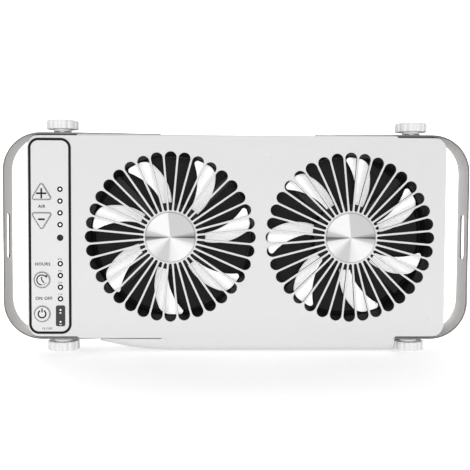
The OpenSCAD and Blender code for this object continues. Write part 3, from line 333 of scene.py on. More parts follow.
def finish(name, color, roughness, grains, metal=0, tint=0.1, shift=0.08, soft=0, uv=False, **sockets):
    # grains: (scale, height in mm, stretch); the first also shifts colour and roughness; soft: edges in mm
    # colour = base x (1 -/+ tint), roughness = base -/+ shift, both by the noise; heights add up as bumps
    material = newMaterial(name, color, roughness, metal, {socketNames[key]: v for key, v in sockets.items()})
    place = addNode(material, "TexCoord").outputs["UV" if uv else "Object"]
    normal = None
    if soft:
        normal = addNode(material, "Bevel", {"Radius": soft / 1000}, samples=4).outputs[0]
    for i, (scale, height, *stretch) in enumerate(grains):
        stretch = stretch[0] if stretch else (1, 1, 1)
        spread = addNode(material, "Mapping", {"Vector": place, "Scale": stretch})
        noise = addNode(material, "TexNoise", {"Vector": spread.outputs[0], "Scale": scale, "Detail": 3.0})
        share = noise.outputs["Fac"]
        if i == 0:
            ramp = addNode(material, "ValToRGB", {0: share})
            for stop, at, part in zip(ramp.color_ramp.elements, (0.3, 0.7), (1 - tint, 1 + tint)):
                stop.position, stop.color = at, (*[min(1, c * part) for c in color], 1)
            link(material, ramp.outputs[0], "Base Color")
            rough = addNode(material, "MapRange", {"Value": share, "From Min": 0.3, "From Max": 0.7,
                                                   "To Min": roughness - shift, "To Max": roughness + shift})
            link(material, rough.outputs[0], "Roughness")
        bump = addNode(material, "Bump", {"Height": share, "Distance": height / 1000, "Strength": 1.0})
        if normal is not None:
            material.node_tree.links.new(normal, bump.inputs["Normal"])
        normal = bump.outputs[0]
    link(material, normal, "Normal")
    return material


finishes = {
    "shell": ((0.53, 0.53, 0.529), 0.62, [(900, 0.012), (60, 0.03)],
              {"specular": 0.2, "tint": 0.012, "shift": 0.06, "soft": 0.4}),
    # the blades' glow is painted light: it brightens them inside the shaded ducts
    "blade_white": ((0.95, 0.95, 0.95), 0.45, [(300, 0.01), (40, 0.05)], {"glow": 0.16, "tint": 0.015}),
    "knob_white": ((0.63, 0.63, 0.63), 0.6, [(700, 0.01), (90, 0.03)],
                   {"specular": 0.25, "tint": 0.015, "shift": 0.07}),
    "dark_plastic": ((0.008, 0.008, 0.0084), 0.55, [(800, 0.015)],
                     {"specular": 0.2, "tint": 0.2, "shift": 0.1, "soft": 0.3}),
    "strap_steel": ((0.53, 0.521, 0.515), 0.64, [(30, 0.002, (1, 90, 1)), (9, 0.004, (0.6, 30, 1))],
                    {"metal": 0.4, "brushed": 0.15, "uv": True}),
    "strap_edge": ((0.13, 0.12, 0.116), 0.5, [(400, 0.004)], {"metal": 1, "tint": 0.15}),
    "small_steel": ((0.34, 0.345, 0.35), 0.58, [(500, 0.006)],
                    {"metal": 1, "tint": 0.08, "shift": 0.1, "soft": 0.15}),
    "bearing_steel": ((0.6, 0.6, 0.62), 0.16, [(200, 0.002, (1, 1, 6))],
                      {"metal": 1, "tint": 0.04, "shift": 0.06, "soft": 0.1}),
    "core_steel": ((0.28, 0.29, 0.31), 0.45, [(300, 0.01, (1, 14, 1))],
                   {"metal": 1, "tint": 0.15, "shift": 0.1, "soft": 0.1}),
    "copper": ((0.72, 0.34, 0.16), 0.3, [(160, 0.06, (1, 9, 1))],
               {"metal": 1, "coat": 0.5, "tint": 0.2, "shift": 0.1, "soft": 0.2}),
    "insert_brass": ((0.68, 0.49, 0.2), 0.3, [(300, 0.01)],
                     {"metal": 1, "tint": 0.08, "shift": 0.1, "soft": 0.15}),
    "ferrite": ((0.05, 0.05, 0.055), 0.7, [(900, 0.03)], {"tint": 0.3, "shift": 0.1, "soft": 0.2}),
    # painted shade: a near-black colour for the grille's slot walls and back, which lie in shade
    "slot_wall": ((0.035, 0.035, 0.035), 0.6, [(800, 0.01)], {"specular": 0.2, "tint": 0.15}),
    "foam": ((0.011, 0.011, 0.011), 0.95, [(700, 0.5), (250, 0.4)], {"tint": 0.5, "shift": 0.05}),
    "rubber": ((0.03, 0.03, 0.03), 0.75, [(500, 0.03)], {"tint": 0.2, "shift": 0.1, "soft": 0.2}),
    "circuit_board": ((0.02, 0.13, 0.06), 0.35, [(130, 0.02)], {"coat": 0.4, "tint": 0.35, "soft": 0.1}),
    "panel_print": ((0.005, 0.005, 0.0054), 0.6, [(900, 0.004)], {"specular": 0.12, "tint": 0.15}),
    "panel_white": ((0.53, 0.531, 0.53), 0.5, [(1100, 0.006)],
                    {"specular": 0.2, "tint": 0.01, "shift": 0.05}),
    "light_lens": ((0.93, 0.93, 0.91), 0.22, [(600, 0.006)], {"coat": 0.6, "tint": 0.02, "shift": 0.06}),
    "smoked": ((0.026, 0.025, 0.026), 0.5, [(400, 0.003)], {"specular": 0.2, "shift": 0.05}),
    "lens_black": ((0.007, 0.006, 0.007), 0.5, [(500, 0.004)],
                   {"specular": 0.15, "tint": 0.25, "shift": 0.06}),
    "wire": ((0.03, 0.03, 0.03), 0.45, [(500, 0.02)], {"tint": 0.2, "shift": 0.1}),
}
materials = {name: finish(name, *looks, **options) for name, (*looks, options) in finishes.items()}
print("materials made")


def dress(piece, material):
    piece.data.materials.clear()
    piece.data.materials.append(materials.get(material, material))
    return piece


def seat(piece, body, slot, *nodes):
    # the piece rides on a body, takes the finish of a slot and stands for CAD nodes
    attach(piece, body)
    if nodes:
        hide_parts(*nodes)
    if not piece.data.materials:
        dress(piece, slot)
    return piece


# painted shade inside the fans' collars: its radius, its depth and its colour
collar = {"inside": 68.2, "front": 24.5, "dark": (0.012, 0.012, 0.013, 1)}


def collarPaintedShade(name):
    # the shell's finish with painted shade: dark inside a radius round each fan's axis and in front of a
    # depth (mm along Y), where the ducts lie in shade
    shell = materials["shell"].copy()
    shell.name = name
    place = addNode(shell, "SeparateXYZ", {0: addNode(shell, "TexCoord").outputs["Object"]})

    def result(kind, a, b):
        return addNode(shell, "Math", {0: a, 1: b}, operation=kind).outputs[0]

    away = []
    for cx in fanX.values():
        offset = result("SUBTRACT", place.outputs[0], cx / 1000)
        arm = addNode(shell, "CombineXYZ", {0: offset, 2: place.outputs[2]})
        away.append(addNode(shell, "VectorMath", {0: arm.outputs[0]}, operation="LENGTH").outputs["Value"])
    inside = result("LESS_THAN", result("MINIMUM", *away), collar["inside"] / 1000)
    dark = result("MULTIPLY", inside, result("LESS_THAN", place.outputs[1], collar["front"] / 1000))
    color = shell.node_tree.nodes["Principled BSDF"].inputs["Base Color"].links[0].from_socket
    mixed = addNode(shell, "Mix", {0: dark, 6: color, 7: collar["dark"]}, data_type="RGBA")
    link(shell, mixed.outputs[2], "Base Color")
    return shell


# CAD nodes keep their shapes and take the finish of their slot
for part in frame["record"]["subparts"]:
    known = part["material_slot"] in materials
    dress(frame["nodes"][part["node"]], part["material_slot"] if known else "small_steel")

# the rear housing's collars get painted shade inside them
dress(frame["nodes"]["rear_housing"], collarPaintedShade("shell_painted_collar_shade"))


def addEdgeFinish(piece, finishName, chosen):
    # a second finish on the faces that a rule picks by their normals and middles (mm)
    polygons = piece.data.polygons
    picked = chosen(vectors(polygons, "normal"), vectors(polygons, "center") * 1000)
    piece.data.materials.append(materials[finishName])
    polygons.foreach_set("material_index", picked.astype(int))


# Front cover

cover = {"slots": 36, "slotInner": 21.4, "slotOuter": 69, "rib": 1.6, "domeHeight": 3, "domeRadius": 71,
         "recess": 20.2, "recessWall": 0.15, "recessDepth": 0.6, "slotEdge": 0.16, "backEdge": 0.1,
         "dimple": 1.1, "dimpleDepth": 0.4, "holePitch": 130}
panel = {"width": 34, "height": 158, "radius": 8, "border": 2, "floor": 24.4, "front": 25.2,
         "x": sum(boxMm("panel_border")[0]) / 2}
dimples = [(fanX["right"] + sx * cover["holePitch"] / 2, sy * cover["holePitch"] / 2)
           for sx in (-1, 1) for sy in (-1, 1)]


def slotOutline(cx, degrees):
    # two arcs whose shared tangents keep the ribs between the slots at one width
    half, rib = 180 / cover["slots"], cover["rib"] / 2
    lean, reach = math.sin(math.radians(half)), 90 + half
    outer, inner = (cover["slotOuter"] + rib) / (1 + lean), (cover["slotInner"] - rib) / (1 - lean)
    line = np.concatenate([arc(outer, 0, outer * lean - rib, -reach, reach, 15),
                           arc(inner, 0, inner * lean - rib, reach, 360 - reach, 8)])
    return spun(dense(line, 12), degrees, cx)


def coverRise(x, y):
    # a cone from the dome's edge up to the inner slot tips, flat inside them but for the cap's recess, and
    # four dimples
    height = np.zeros_like(x)
    for cx in fanX.values():
        r = np.hypot(x - cx, y)
        up = (cover["domeRadius"] - r) / (cover["domeRadius"] - cover["slotInner"])
        down = (cover["recess"] + cover["recessWall"] - r) / cover["recessWall"]
        height += cover["domeHeight"] * np.clip(up, 0, 1) - cover["recessDepth"] * np.clip(down, 0, 1)
    for cx, cy in dimples:
        r = np.hypot(x - cx, y - cy)
        height -= cover["dimpleDepth"] * np.clip(1 - r / cover["dimple"], 0, 1) ** 1.5
    return height


def coverOutline():
    # the body's rectangle with lower ends: a short slant steps down to them, but the top edge runs straight
    # from the right step to the left corner
    r, w, h = body["corner"], body["width"] / 2 - body["corner"], body["height"] / 2
    low, step = h - body["seatDrop"], body["stepX"]
    drop = step + body["slant"]
    right = np.concatenate([arc(w, r - low, r, -90, 0), arc(w, low - r, r, 0, 90), [[drop, low], [step, h]]])
    return np.concatenate([[[step, -h], [drop, -low]], right, -right])


holes = [slotOutline(cx, k * 360 / cover["slots"]) for cx in fanX.values() for k in range(cover["slots"])]
holes.append(roundedRect(panel["width"], panel["height"], panel["radius"], panel["x"], 0, 12))
inner = cover["recess"]
creases = [ring(r, 120, cx) for cx in fanX.values()
           for r in (cover["domeRadius"], inner + 0.4, inner + cover["recessWall"], inner, inner - 0.4)]
creases += [ring(share * cover["dimple"], 16, cx, cy) for cx, cy in dimples for share in (1, 0.6, 0.25)]
points, faces, normals = plate(coverOutline(), holes, frontZ, plateBackZ, cover["slotEdge"],
                               cover["backEdge"], coverRise, np.concatenate(creases))
coverParts = [(points, faces, slopeTo(coverRise, points, normals))]
print("front plate", len(points))


# Control panel: outlines shared by the holes, the buttons and the printed marks

panelLeft = panel["x"] - panel["width"] / 2
bx, lx = panelLeft + 10.5, panelLeft + 25.2  # middle of the buttons, middle of the lights
controls = {"gap": 0.35, "proud": 0.7, "triWidth": 15, "triHeight": 13, "triCorner": 1.6, "round": 6.4,
            "flange": 0.8, "plunger": 1.6, "lightRadius": 1.15, "lens": 0.95, "ringRadius": 2.25,
            "windowRadius": 2.6, "windowY": -1, "flow": (7.5, 17, -64.3), "flowCorner": 1.5,
            "flowLights": 9.7, "flowLens": 0.72, "mark": 0.05, "line": 0.4, "lineIn": 0.25,
            "lightTops": (38, -22), "lightPitch": 9.5}
buttonY = {"plus": 36, "minus": 12.7, "timer": -35.1, "power": -62.7}
lightY = [top - controls["lightPitch"] * i for top in controls["lightTops"] for i in range(4)]


def triangle(grow, y, up):
    # three arcs joined by straight sides; grow widens it all round
    corner = controls["triCorner"]
    r, x, h = corner + grow, controls["triWidth"] / 2 - corner, controls["triHeight"] / 2 - corner
    lean = math.degrees(math.atan2(x, 2 * h))
    line = np.concatenate([arc(x, -h, r, -90, lean, 9), arc(0, h, r, lean, 180 - lean, 9),
                           arc(-x, -h, r, 180 - lean, 270, 9)])
    if not up:
        line = line[::-1] * [1, -1]
    return line + [bx, y]


def buttonOutline(name, grow):
    if name in ("plus", "minus"):
        return triangle(grow, buttonY[name], name == "plus")
    return ring(controls["round"] + grow, 56, bx, buttonY[name])


def panelHoles(lightRadius):
    flowW, flowH, flowMid = controls["flow"]
    return ([buttonOutline(name, controls["gap"]) for name in buttonY]
            + [ring(lightRadius, 28, lx, y) for y in lightY]
            + [ring(controls["windowRadius"], 36, lx, controls["windowY"]),
               roundedRect(flowW, flowH, controls["flowCorner"], lx, flowMid, 6)])


def panelOutline(inset):
    return roundedRect(panel["width"] - 2 * inset, panel["height"] - 2 * inset, panel["radius"] - inset,
                       panel["x"], 0, 14)


holes = panelHoles(controls["lightRadius"])
coverParts.append(plate(panelOutline(0), holes, panel["floor"], plateBackZ, 0.05))


# Lower lip of the front cover: its end view carried along x, with a rounded corner at its bottom front

lip = {"drop": 11, "overlap": 1.2, "round": 9.5, "start": -57, "end": 129, "full": -50, "curve": 260,
       "backZ": 13, "wall": 2.5, "faceGap": 0.003}
lipEnd = np.array([[0.15, 0.15], [0, 0.5]])  # distance from the right end, and how far the section shrinks


def lipBottom(x):
    # a long circle that runs into the flat bottom
    low = -body["height"] / 2 - lip["drop"]
    x = np.minimum(x, lip["full"])
    return low + lip["curve"] - np.sqrt(lip["curve"] ** 2 - (x - lip["full"]) ** 2)


def lipSection():
    # closed loop of (z, height above the lip's bottom): front, round, bottom, and the same a wall inside
    top, face = lip["drop"] + lip["overlap"], frontZ - lip["faceGap"]
    r, w = lip["round"], lip["wall"]
    outer, inner = arc(face - r, r, r, 0, -90, 14), arc(frontZ - r, r, r - w, -90, 0, 14)
    z = np.linspace(frontZ - r, lip["backZ"], 4)[1:]
    return np.concatenate([[[face, top]], outer, np.stack([z, np.zeros(3)], 1),
                           np.stack([z[::-1], np.full(3, w)], 1), inner, [[frontZ - w, top]]])


def lipGrid(spans=40):
    # the section at each station along x, drawn in towards its middle at the right end
    section = lipSection()
    x = np.concatenate([[lip["start"]], np.linspace(lip["start"] + 1, lip["end"] - 0.5, spans),
                        lip["end"] - lipEnd[:, 0]])
    shrink = np.concatenate([np.zeros(spans + 1), lipEnd[:, 1]])
    inwards = section.mean(0) - section
    inwards /= np.linalg.norm(inwards, axis=1)[:, None]
    loops = section[None] + inwards[None] * shrink[:, None, None]
    return np.stack([np.broadcast_to(x[:, None], loops.shape[:2]), lipBottom(x)[:, None] + loops[..., 1],
                     loops[..., 0]], -1)


grid = lipGrid()
points = grid.reshape(-1, 3)
faces = gridFaces(*grid.shape[:2]).tolist() + endFaces(*grid.shape[:2])
frontLip = addMesh("frontLip", points, turnedOut(points, faces), sharp=35)


def grillePaintedShade(normals, middles):
    # walls of the slots, and the back of the grilles, which get a near-black painted shade where they lie in
    # shade
    fromFan = np.min([np.hypot(middles[:, 0] - cx, middles[:, 2]) for cx in fanX.values()], axis=0)
    inner, outer = cover["slotInner"], cover["slotOuter"]
    wall = (np.abs(normals[:, 1]) < 0.3) & (fromFan > inner - 0.5) & (fromFan < outer + 0.3)
    return wall | (normals[:, 1] > 0.7) & (fromFan < outer + 1.5)


frontCover = addMesh("frontCover", *joined(*coverParts))
seat(frontCover, "housing", "shell", "front_cover")
# the slot walls and the grille's back take the painted shade
addEdgeFinish(frontCover, "slot_wall", grillePaintedShade)
seat(frontLip, "housing", "shell")
print("front cover made")


# Hub caps

cap = {"radius": 19.9, "thick": 1.8, "bevel": 0.6, "dish": 0.12, "dishWidth": 1.2, "gain": 0.66,
       "rings": 5200, "groove": 0.004}
# grey levels of the caps' painted sheen: painted highlights and painted shade
capPaintedTone = {"line": 78, "edge": 150, "shade": 190, "soft": 209, "light": 238, "glare": 252}
# each tone's place in degrees from the right, turning upwards: painted highlights and painted shade that
# stand in for the light and dark fans which turned metal reflects
capPaintedSheen = [(-180, "line"), (-173, "edge"), (-169, "light"), (-150, "glare"), (-120, "soft"), (-97, "soft"),
            (-88, "light"), (-60, "glare"), (-30, "glare"), (-18, "light"), (-14, "soft"), (-4, "shade"),
            (-1.5, "line"), (1.5, "line"), (3, "edge"), (11, "shade"), (14, "soft"), (94, "soft"),
            (98, "glare"), (150, "glare"), (162, "light"), (165, "soft"), (176, "shade"), (178, "edge"),
            (180, "line")]


def spunMetalPaintedSheen(name, cx):
    # turned aluminium: a painted sheen, the grey level by the angle round the middle standing in for its
    # reflections; fine rings and grooves by the radius
    base = newMaterial(name, (0.8, 0.8, 0.8), 0.55, 0, {"Anisotropic": 0.5, "Specular IOR Level": 0.15})
    place = addNode(base, "Mapping", {"Vector": addNode(base, "TexCoord").outputs["Object"],
                                      "Location": (-cx / 1000, 0, 0), "Scale": (1, 0, 1)}).outputs[0]
    parts = addNode(base, "SeparateXYZ", {0: place})
    angle = addNode(base, "Math", {0: parts.outputs[2], 1: parts.outputs[0]}, operation="ARCTAN2").outputs[0]
    share = addNode(base, "MapRange", {"Value": angle, "From Min": -math.pi, "From Max": math.pi}).outputs[0]
    ramp = addNode(base, "ValToRGB", {0: share})
    stops = ramp.color_ramp.elements
    stops.remove(stops[1])
    for i, (degrees, tone) in enumerate(capPaintedSheen):
        stop = stops.new((degrees + 180) / 360) if i else stops[0]
        stop.color = (*[grey(capPaintedTone[tone]) * cap["gain"]] * 3, 1)
    radius = addNode(base, "VectorMath", {0: place}, operation="LENGTH").outputs["Value"]
    fine = {"W": radius, "Scale": cap["rings"], "Detail": 2}
    rings = addNode(base, "TexNoise", fine, noise_dimensions="1D")
    streaks = addNode(base, "MapRange", {"Value": rings.outputs[0], "From Min": 0.3, "From Max": 0.7,
                                         "To Min": 0.96, "To Max": 1.02}).outputs[0]
    both = {0: 1.0, 6: ramp.outputs[0], 7: streaks}
    color = addNode(base, "Mix", both, data_type="RGBA", blend_type="MULTIPLY")
    groove = addNode(base, "Bump", {"Height": rings.outputs[0], "Distance": cap["groove"] / 1000})
    link(base, color.outputs[2], "Base Color")
    link(base, groove.outputs[0], "Normal")
    link(base, addNode(base, "Tangent", direction_type="RADIAL", axis="Y").outputs[0], "Tangent")
    return base


def capProfile():
    # (radius, depth) from the middle out: a face dished by exp(-(r / width)^2), a bevel and the wall
    foot = frontZ + cover["domeHeight"] - cover["recessDepth"]
    top, r, b = foot + cap["thick"], cap["radius"], cap["bevel"]
    across = np.linspace(0, r - b, 12)
    face = np.stack([across, top - cap["dish"] * np.exp(-(across / cap["dishWidth"]) ** 2)], 1)
    bevel = arc(r - b, top - b, b, 90, 0, 6)
    return np.concatenate([face, bevel[1:], [[r, foot], [0, foot]]])


for side, cx in fanX.items():
    piece = addMesh(side + "HubCap", *lathe(capProfile(), 144, cx), sharp=50)
    # the caps' finish carries the painted sheen
    dress(piece, spunMetalPaintedSheen(side + "_spun_aluminium", cx))
    seat(piece, "housing", "spun_aluminium", side + "_hub_cap")
print("hub caps made")


# Impellers: a blade is a bent slab whose plan is a swept wedge with a rounded tip

fan = {"hub": 26, "rootGap": 0.9, "tip": 66.2, "thick": 1.8, "arc": 18, "rootArc": 0.88, "fullArcAt": 0.6,
       "sweep": 18, "sweepPower": 1.5, "sweepBack": 0.3, "acrossPower": 0.7, "throughPower": 0.45,
       "denseFrom": 0.8, "roundShare": 0.1, "tipCut": 0.7, "thinFrom": 0.985, "thinTo": 1.0001,
       "pitch": 28, "camber": 50, "blades": 7, "middle": -1, "turn": {"left": 2, "right": 19.5},
       "sleeve": (26, 27.5), "sleeveEnds": (-8, 8.3), "sleeveEdge": 0.3}


def bladeGrid(rows=34, around=28):
    # rows from root to tip; around each, a rounded slab section: s runs across the blade and t through it
    # angle = sweep (u^power - back) + s times half the arc, which grows as a sine and ends in a round tip
    # depth = a circle of the camber's radius, tilted by the pitch, plus t along its own radius
    u = np.linspace(0, 1, rows)
    late = (u - fan["denseFrom"]) / (1 - fan["denseFrom"])
    u = np.where(late > 0, fan["denseFrom"] + (1 - fan["denseFrom"]) * np.sin(late * np.pi / 2), u)
    nearTip = np.clip((u - 1 + fan["roundShare"]) / fan["roundShare"], 0, 1)
    widen = fan["rootArc"] + (1 - fan["rootArc"]) * np.sin(np.pi / 2 * np.minimum(1, u / fan["fullArcAt"]))
    half = fan["arc"] / 2 * widen * np.sqrt(1 - fan["tipCut"] * nearTip ** 2)
    middle = fan["sweep"] * (u ** fan["sweepPower"] - fan["sweepBack"])
    turn = np.linspace(0, 2 * np.pi, around, endpoint=False) + np.pi / around
    s = np.sign(np.cos(turn)) * np.abs(np.cos(turn)) ** fan["acrossPower"]
    t = np.sign(np.sin(turn)) * np.abs(np.sin(turn)) ** fan["throughPower"] * fan["thick"] / 2
    fading = np.clip((u - fan["thinFrom"]) / (fan["thinTo"] - fan["thinFrom"]), 0, 1)
    thin = np.sqrt(np.clip(1 - fading ** 2, 0.02, 1))
    root = fan["hub"] + fan["rootGap"]
    r = root + (fan["tip"] - root) * u
    angle = np.radians(middle[:, None] + s[None] * half[:, None])
    x, y = r[:, None] * np.cos(angle), r[:, None] * np.sin(angle)
    camber, pitch = fan["camber"], math.radians(fan["pitch"])
    lean = camber * math.sin(pitch)
    reach = np.sqrt(camber ** 2 - (y - lean) ** 2)
    depth = t[None] * thin[:, None]
    z = reach - camber * math.cos(pitch) + depth * reach / camber
    y = y + depth * (y - lean) / camber
    return np.stack([x, y, z + fan["middle"]], -1)


grid = bladeGrid()
blade = grid.reshape(-1, 3)
bladeFaces = turnedOut(blade, gridFaces(*grid.shape[:2]).tolist() + endFaces(*grid.shape[:2]))
for side, cx in fanX.items():
    angles = fan["turn"][side] + 360 * np.arange(fan["blades"]) / fan["blades"]
    blades = [np.column_stack([spun(blade, degrees, cx), blade[:, 2]]) for degrees in angles]
    piece = addMesh(side + "Blades", *joinedSolids([(points, bladeFaces) for points in blades]), sharp=40)
    seat(piece, side + "_rotor", "blade_white", side + "_impeller")
    (r0, r1), (z0, z1), e = fan["sleeve"], fan["sleeveEnds"], fan["sleeveEdge"]
    tube, faces = lathe([(r0, z1), (r1 - e, z1), (r1, z1 - e), (r1, z0 + e), (r1 - e, z0), (r0, z0)], 120, cx)
    seat(addMesh(side + "Sleeve", tube, turnedOut(tube, faces), sharp=40), side + "_rotor", "dark_plastic")
print("impellers made")


# Straps: drawn flat as (length along the band, width), then bent round the end of the body

strap = {"out": 190, "halfHeight": 83.3, "bend": 30.3, "thick": 1.4, "width": 25, "middleZ": 8.5, "tip": 63,
         "tipRound": 3.5, "taperX": 125, "slot": (116.1, 146.9, 5.8), "endSlot": (38, 9), "edge": 0.25}
strapFlat = strap["halfHeight"] - strap["bend"]
strapBendX = strap["out"] - strap["thick"] / 2 - strap["bend"]


def bandPlace(along):
    # point and outward direction on the middle of the band at each length from the middle of its end:
    # straight up, a quarter circle, and straight back along the leg
    reach, side = np.abs(along), np.sign(along)
    turn = np.clip((reach - strapFlat) / strap["bend"], 0, np.pi / 2)
    over = np.maximum(reach - strapFlat - strap["bend"] * np.pi / 2, 0)
    x = strapBendX + strap["bend"] * np.cos(turn) - over
    y = side * (np.minimum(reach, strapFlat) + strap["bend"] * np.sin(turn))
    return x, y, np.cos(turn), side * np.sin(turn)


def alongAt(x):
    # length along the band where the leg is at x
    return strapFlat + strap["bend"] * np.pi / 2 + strapBendX - x


def capsule(x0, x1, w, count=14):
    r = w / 2
    return np.concatenate([arc(x1 - r, 0, r, -90, 90, count), arc(x0 + r, 0, r, 90, 270, count)])


half, tipR = strap["width"] / 2, strap["tipRound"]
taper, tipEnd = alongAt(strap["taperX"]), alongAt(strap["tip"] + tipR)
band = np.concatenate([[[-tipEnd, -tipR], [-taper, -half], [taper, -half], [tipEnd, -tipR]],
                       arc(tipEnd, 0, tipR, -80, 80, 9),
                       [[tipEnd, tipR], [taper, half], [-taper, half], [-tipEnd, tipR]],
                       arc(-tipEnd, 0, tipR, 100, 260, 9)])
legSlot = capsule(alongAt(strap["slot"][1]), alongAt(strap["slot"][0]), strap["slot"][2])
endLong, endWide = strap["endSlot"]
bandHoles = [dense(h, 3) for h in (legSlot, legSlot * [-1, 1], capsule(-endLong / 2, endLong / 2, endWide))]
inside = np.stack(np.meshgrid(np.arange(-105, 106, 3.0), [-8.6, -6, 6, 8.6]), -1)  # keep the bends smooth
flatPoints, bandFaces, flatNormals = plate(dense(band, 3), bandHoles, strap["thick"] / 2, -strap["thick"] / 2,
                                           strap["edge"], extra=inside, steps=2)
for side, sign in (("left", -1), ("right", 1)):
    x, y, nx, ny = bandPlace(flatPoints[:, 0])
    flat = np.zeros(len(nx))
    out, ahead, across = np.stack([nx, ny, flat], 1), np.stack([-ny, nx, flat], 1), np.array([0, 0, 1.0])
    middle = np.stack([x, y, flat + strap["middleZ"]], 1)
    points = middle + out * flatPoints[:, 2:] + across * flatPoints[:, 1:2]
    normals = ahead * flatNormals[:, :1] + across * flatNormals[:, 1:2] + out * flatNormals[:, 2:]
    points[:, :2] *= sign  # a half turn about the depth axis makes the left one
    normals[:, :2] *= sign
    piece = addMesh(side + "Strap", points, bandFaces, normals, uv=flatPoints[:, :2] / 1000)
    seat(piece, side + "_strap", "strap_steel", side + "_strap")
    addEdgeFinish(piece, "strap_edge", lambda normals, middles: np.abs(normals[:, 1]) > 0.6)
print("straps made")


# Knobs: a fluted head on a neck, drawn upwards and then turned onto its stud

knob = {"radius": 13, "height": 7.4, "flutes": 12, "fluteR": 2, "fluteDepth": 0.9, "fluteSoft": 0.12,
        "bevel": 1.2, "lowBevel": 0.6, "neckR": 7.4, "neck": 1.6, "from": 85.4, "studX": 144, "dish": 0.5,
        "rimFrom": 0.72, "rimTo": 0.86}


def knobRadius(angle):
    # the circle, hollowed by a flute circle every 30 degrees, with a soft edge between the two
    step = 2 * np.pi / knob["flutes"]
    off = (angle + step / 2) % step - step / 2
    far = knob["radius"] + knob["fluteR"] - knob["fluteDepth"]
    hollow = far * np.cos(off) - np.sqrt(np.maximum(knob["fluteR"] ** 2 - (far * np.sin(off)) ** 2, 0))
    hollow = np.where(np.abs(far * np.sin(off)) < knob["fluteR"], hollow, knob["radius"] + 3)
    soft = knob["fluteSoft"]
    return -soft * np.log(np.exp(-hollow / soft) + np.exp(-knob["radius"] / soft))


def knobGrid(count=240):
    # rows of radius and height from the top's middle to the neck's foot: circles in the middle that become
    # the fluted outline, a dished top whose rim rises smoothly (3 t^2 - 2 t^3), two bevels, and the neck
    angle = np.linspace(0, 2 * np.pi, count, endpoint=False)
    fluted = knobRadius(angle)
    top, low = knob["neck"] + knob["height"], knob["neck"]
    b, c, neckR = knob["bevel"], knob["lowBevel"], knob["neckR"]
    rows = []
    for share in (0.12, 0.3, 0.5, 0.68, 0.72, 0.755, 0.79, 0.825, 0.86, 0.9, 0.95, 1):
        t = np.clip((share - knob["rimFrom"]) / (knob["rimTo"] - knob["rimFrom"]), 0, 1)
        r = share * (fluted - b) + (1 - share) * share * (knob["radius"] - b - fluted)
        rows.append((r, top - knob["dish"] * (1 - t ** 2 * (3 - 2 * t))))
    over, under = np.radians(np.linspace(12, 90, 7)), np.radians(np.linspace(0, 90, 5))
    rows += [(fluted - b * (1 - np.sin(a)), top - b * (1 - np.cos(a))) for a in over]
    rows.append((fluted, (top + low) / 2))
    rows += [(fluted - c * (1 - np.cos(a)), low + c * (1 - np.sin(a))) for a in under]
    rows += [(neckR + 0.5, low), (neckR + 0.12, low), (neckR, low - 0.15), (neckR, 0.2), (neckR - 0.2, 0.0)]
    x, y = np.cos(angle), np.sin(angle)
    return np.stack([np.stack(np.broadcast_arrays(r * x, r * y, h), -1) for r, h in rows])


grid = knobGrid()
rows, around = grid.shape[:2]
knobPoints = np.concatenate([grid.reshape(-1, 3), [[0, 0, grid[0, 0, 2]], [0, 0, 0.0]]])
knobFaces = turnedOut(knobPoints, gridFaces(rows, around).tolist() + poleFaces(0, around, rows * around)
                      + poleFaces(rows - 1, around, rows * around + 1, flip=True))
for level, sy in (("upper", 1), ("lower", -1)):
    for side, sx in (("left", -1), ("right", 1)):
        name = level + "_" + side + "_knob"
        x, z, h = knobPoints.T
        points = np.stack([sx * knob["studX"] + x, sy * (h + knob["from"]), strap["middleZ"] - sy * z], 1)
        seat(addMesh(level + side.title() + "Knob", points, knobFaces, sharp=38), name, "knob_white", name)
print("knobs made")


# Control panel pieces

face, floor, border = panel["front"], panel["floor"], panel["border"]
boardFront = plateBackZ - 6.4
borderPlate = plate(panelOutline(0.02), [panelOutline(border)], face + 0.1, floor, 0.12, 0.05)
seat(addMesh("panelBorder", *borderPlate), "housing", "panel_print", "panel_border")
holes = panelHoles(controls["ringRadius"])
facePlate = plate(panelOutline(border + 0.02), holes, face, floor, 0.06, 0.05)
seat(addMesh("panelFace", *facePlate), "housing", "panel_white", "panel_face")

buttonTop = face + controls["proud"]
buttonDepths = {"head": plateBackZ - 0.2, "flange": plateBackZ - 1.2, "stem": 18.1}
flangeLeft = -body["width"] / 2 + body["wall"] + controls["gap"]  # the flanges stop short of the wall
for name, y in buttonY.items():
    flange = buttonOutline(name, controls["flange"])
    flange[:, 0] = np.maximum(flange[:, 0], flangeLeft)
    stem = ring(controls["plunger"], 28, bx, y)
    parts = [plate(buttonOutline(name, 0), [], buttonTop, buttonDepths["head"], 0.12, 0.1),
             plate(flange, [], buttonDepths["head"], buttonDepths["flange"], 0.1),
             plate(stem, [], buttonDepths["flange"], buttonDepths["stem"], 0.1, 0.2)]
    seat(addMesh(name + "Button", *joined(*parts)), name + "_button", "panel_white", name + "_button")


def printed(outline, holes=(), level=buttonTop):
    # a mark printed a hair above a face
    return plate(outline, holes, level + controls["mark"], level - 0.05, 0.02, steps=1)


def bar(w, h, cx, cy, turn=0):
    return spun(roundedRect(w, h, min(w, h) * 0.3, 0, 0, 4), turn, cx, cy)


def openRing(r, width, cx, cy, start, end):
    # a band along part of a circle
    n = max(6, int(abs(end - start) / 6))
    outer, inner = arc(cx, cy, r + width / 2, start, end, n), arc(cx, cy, r - width / 2, start, end, n)
    return np.concatenate([outer, inner[::-1]])


def plusOutline(arm, reach, cx, cy):
    # one arm, turned by quarters
    corner = np.array([[-arm, -reach], [arm, -reach], [arm, -arm]])
    return np.concatenate([spun(corner, quarter, cx, cy) for quarter in (0, 90, 180, 270)])


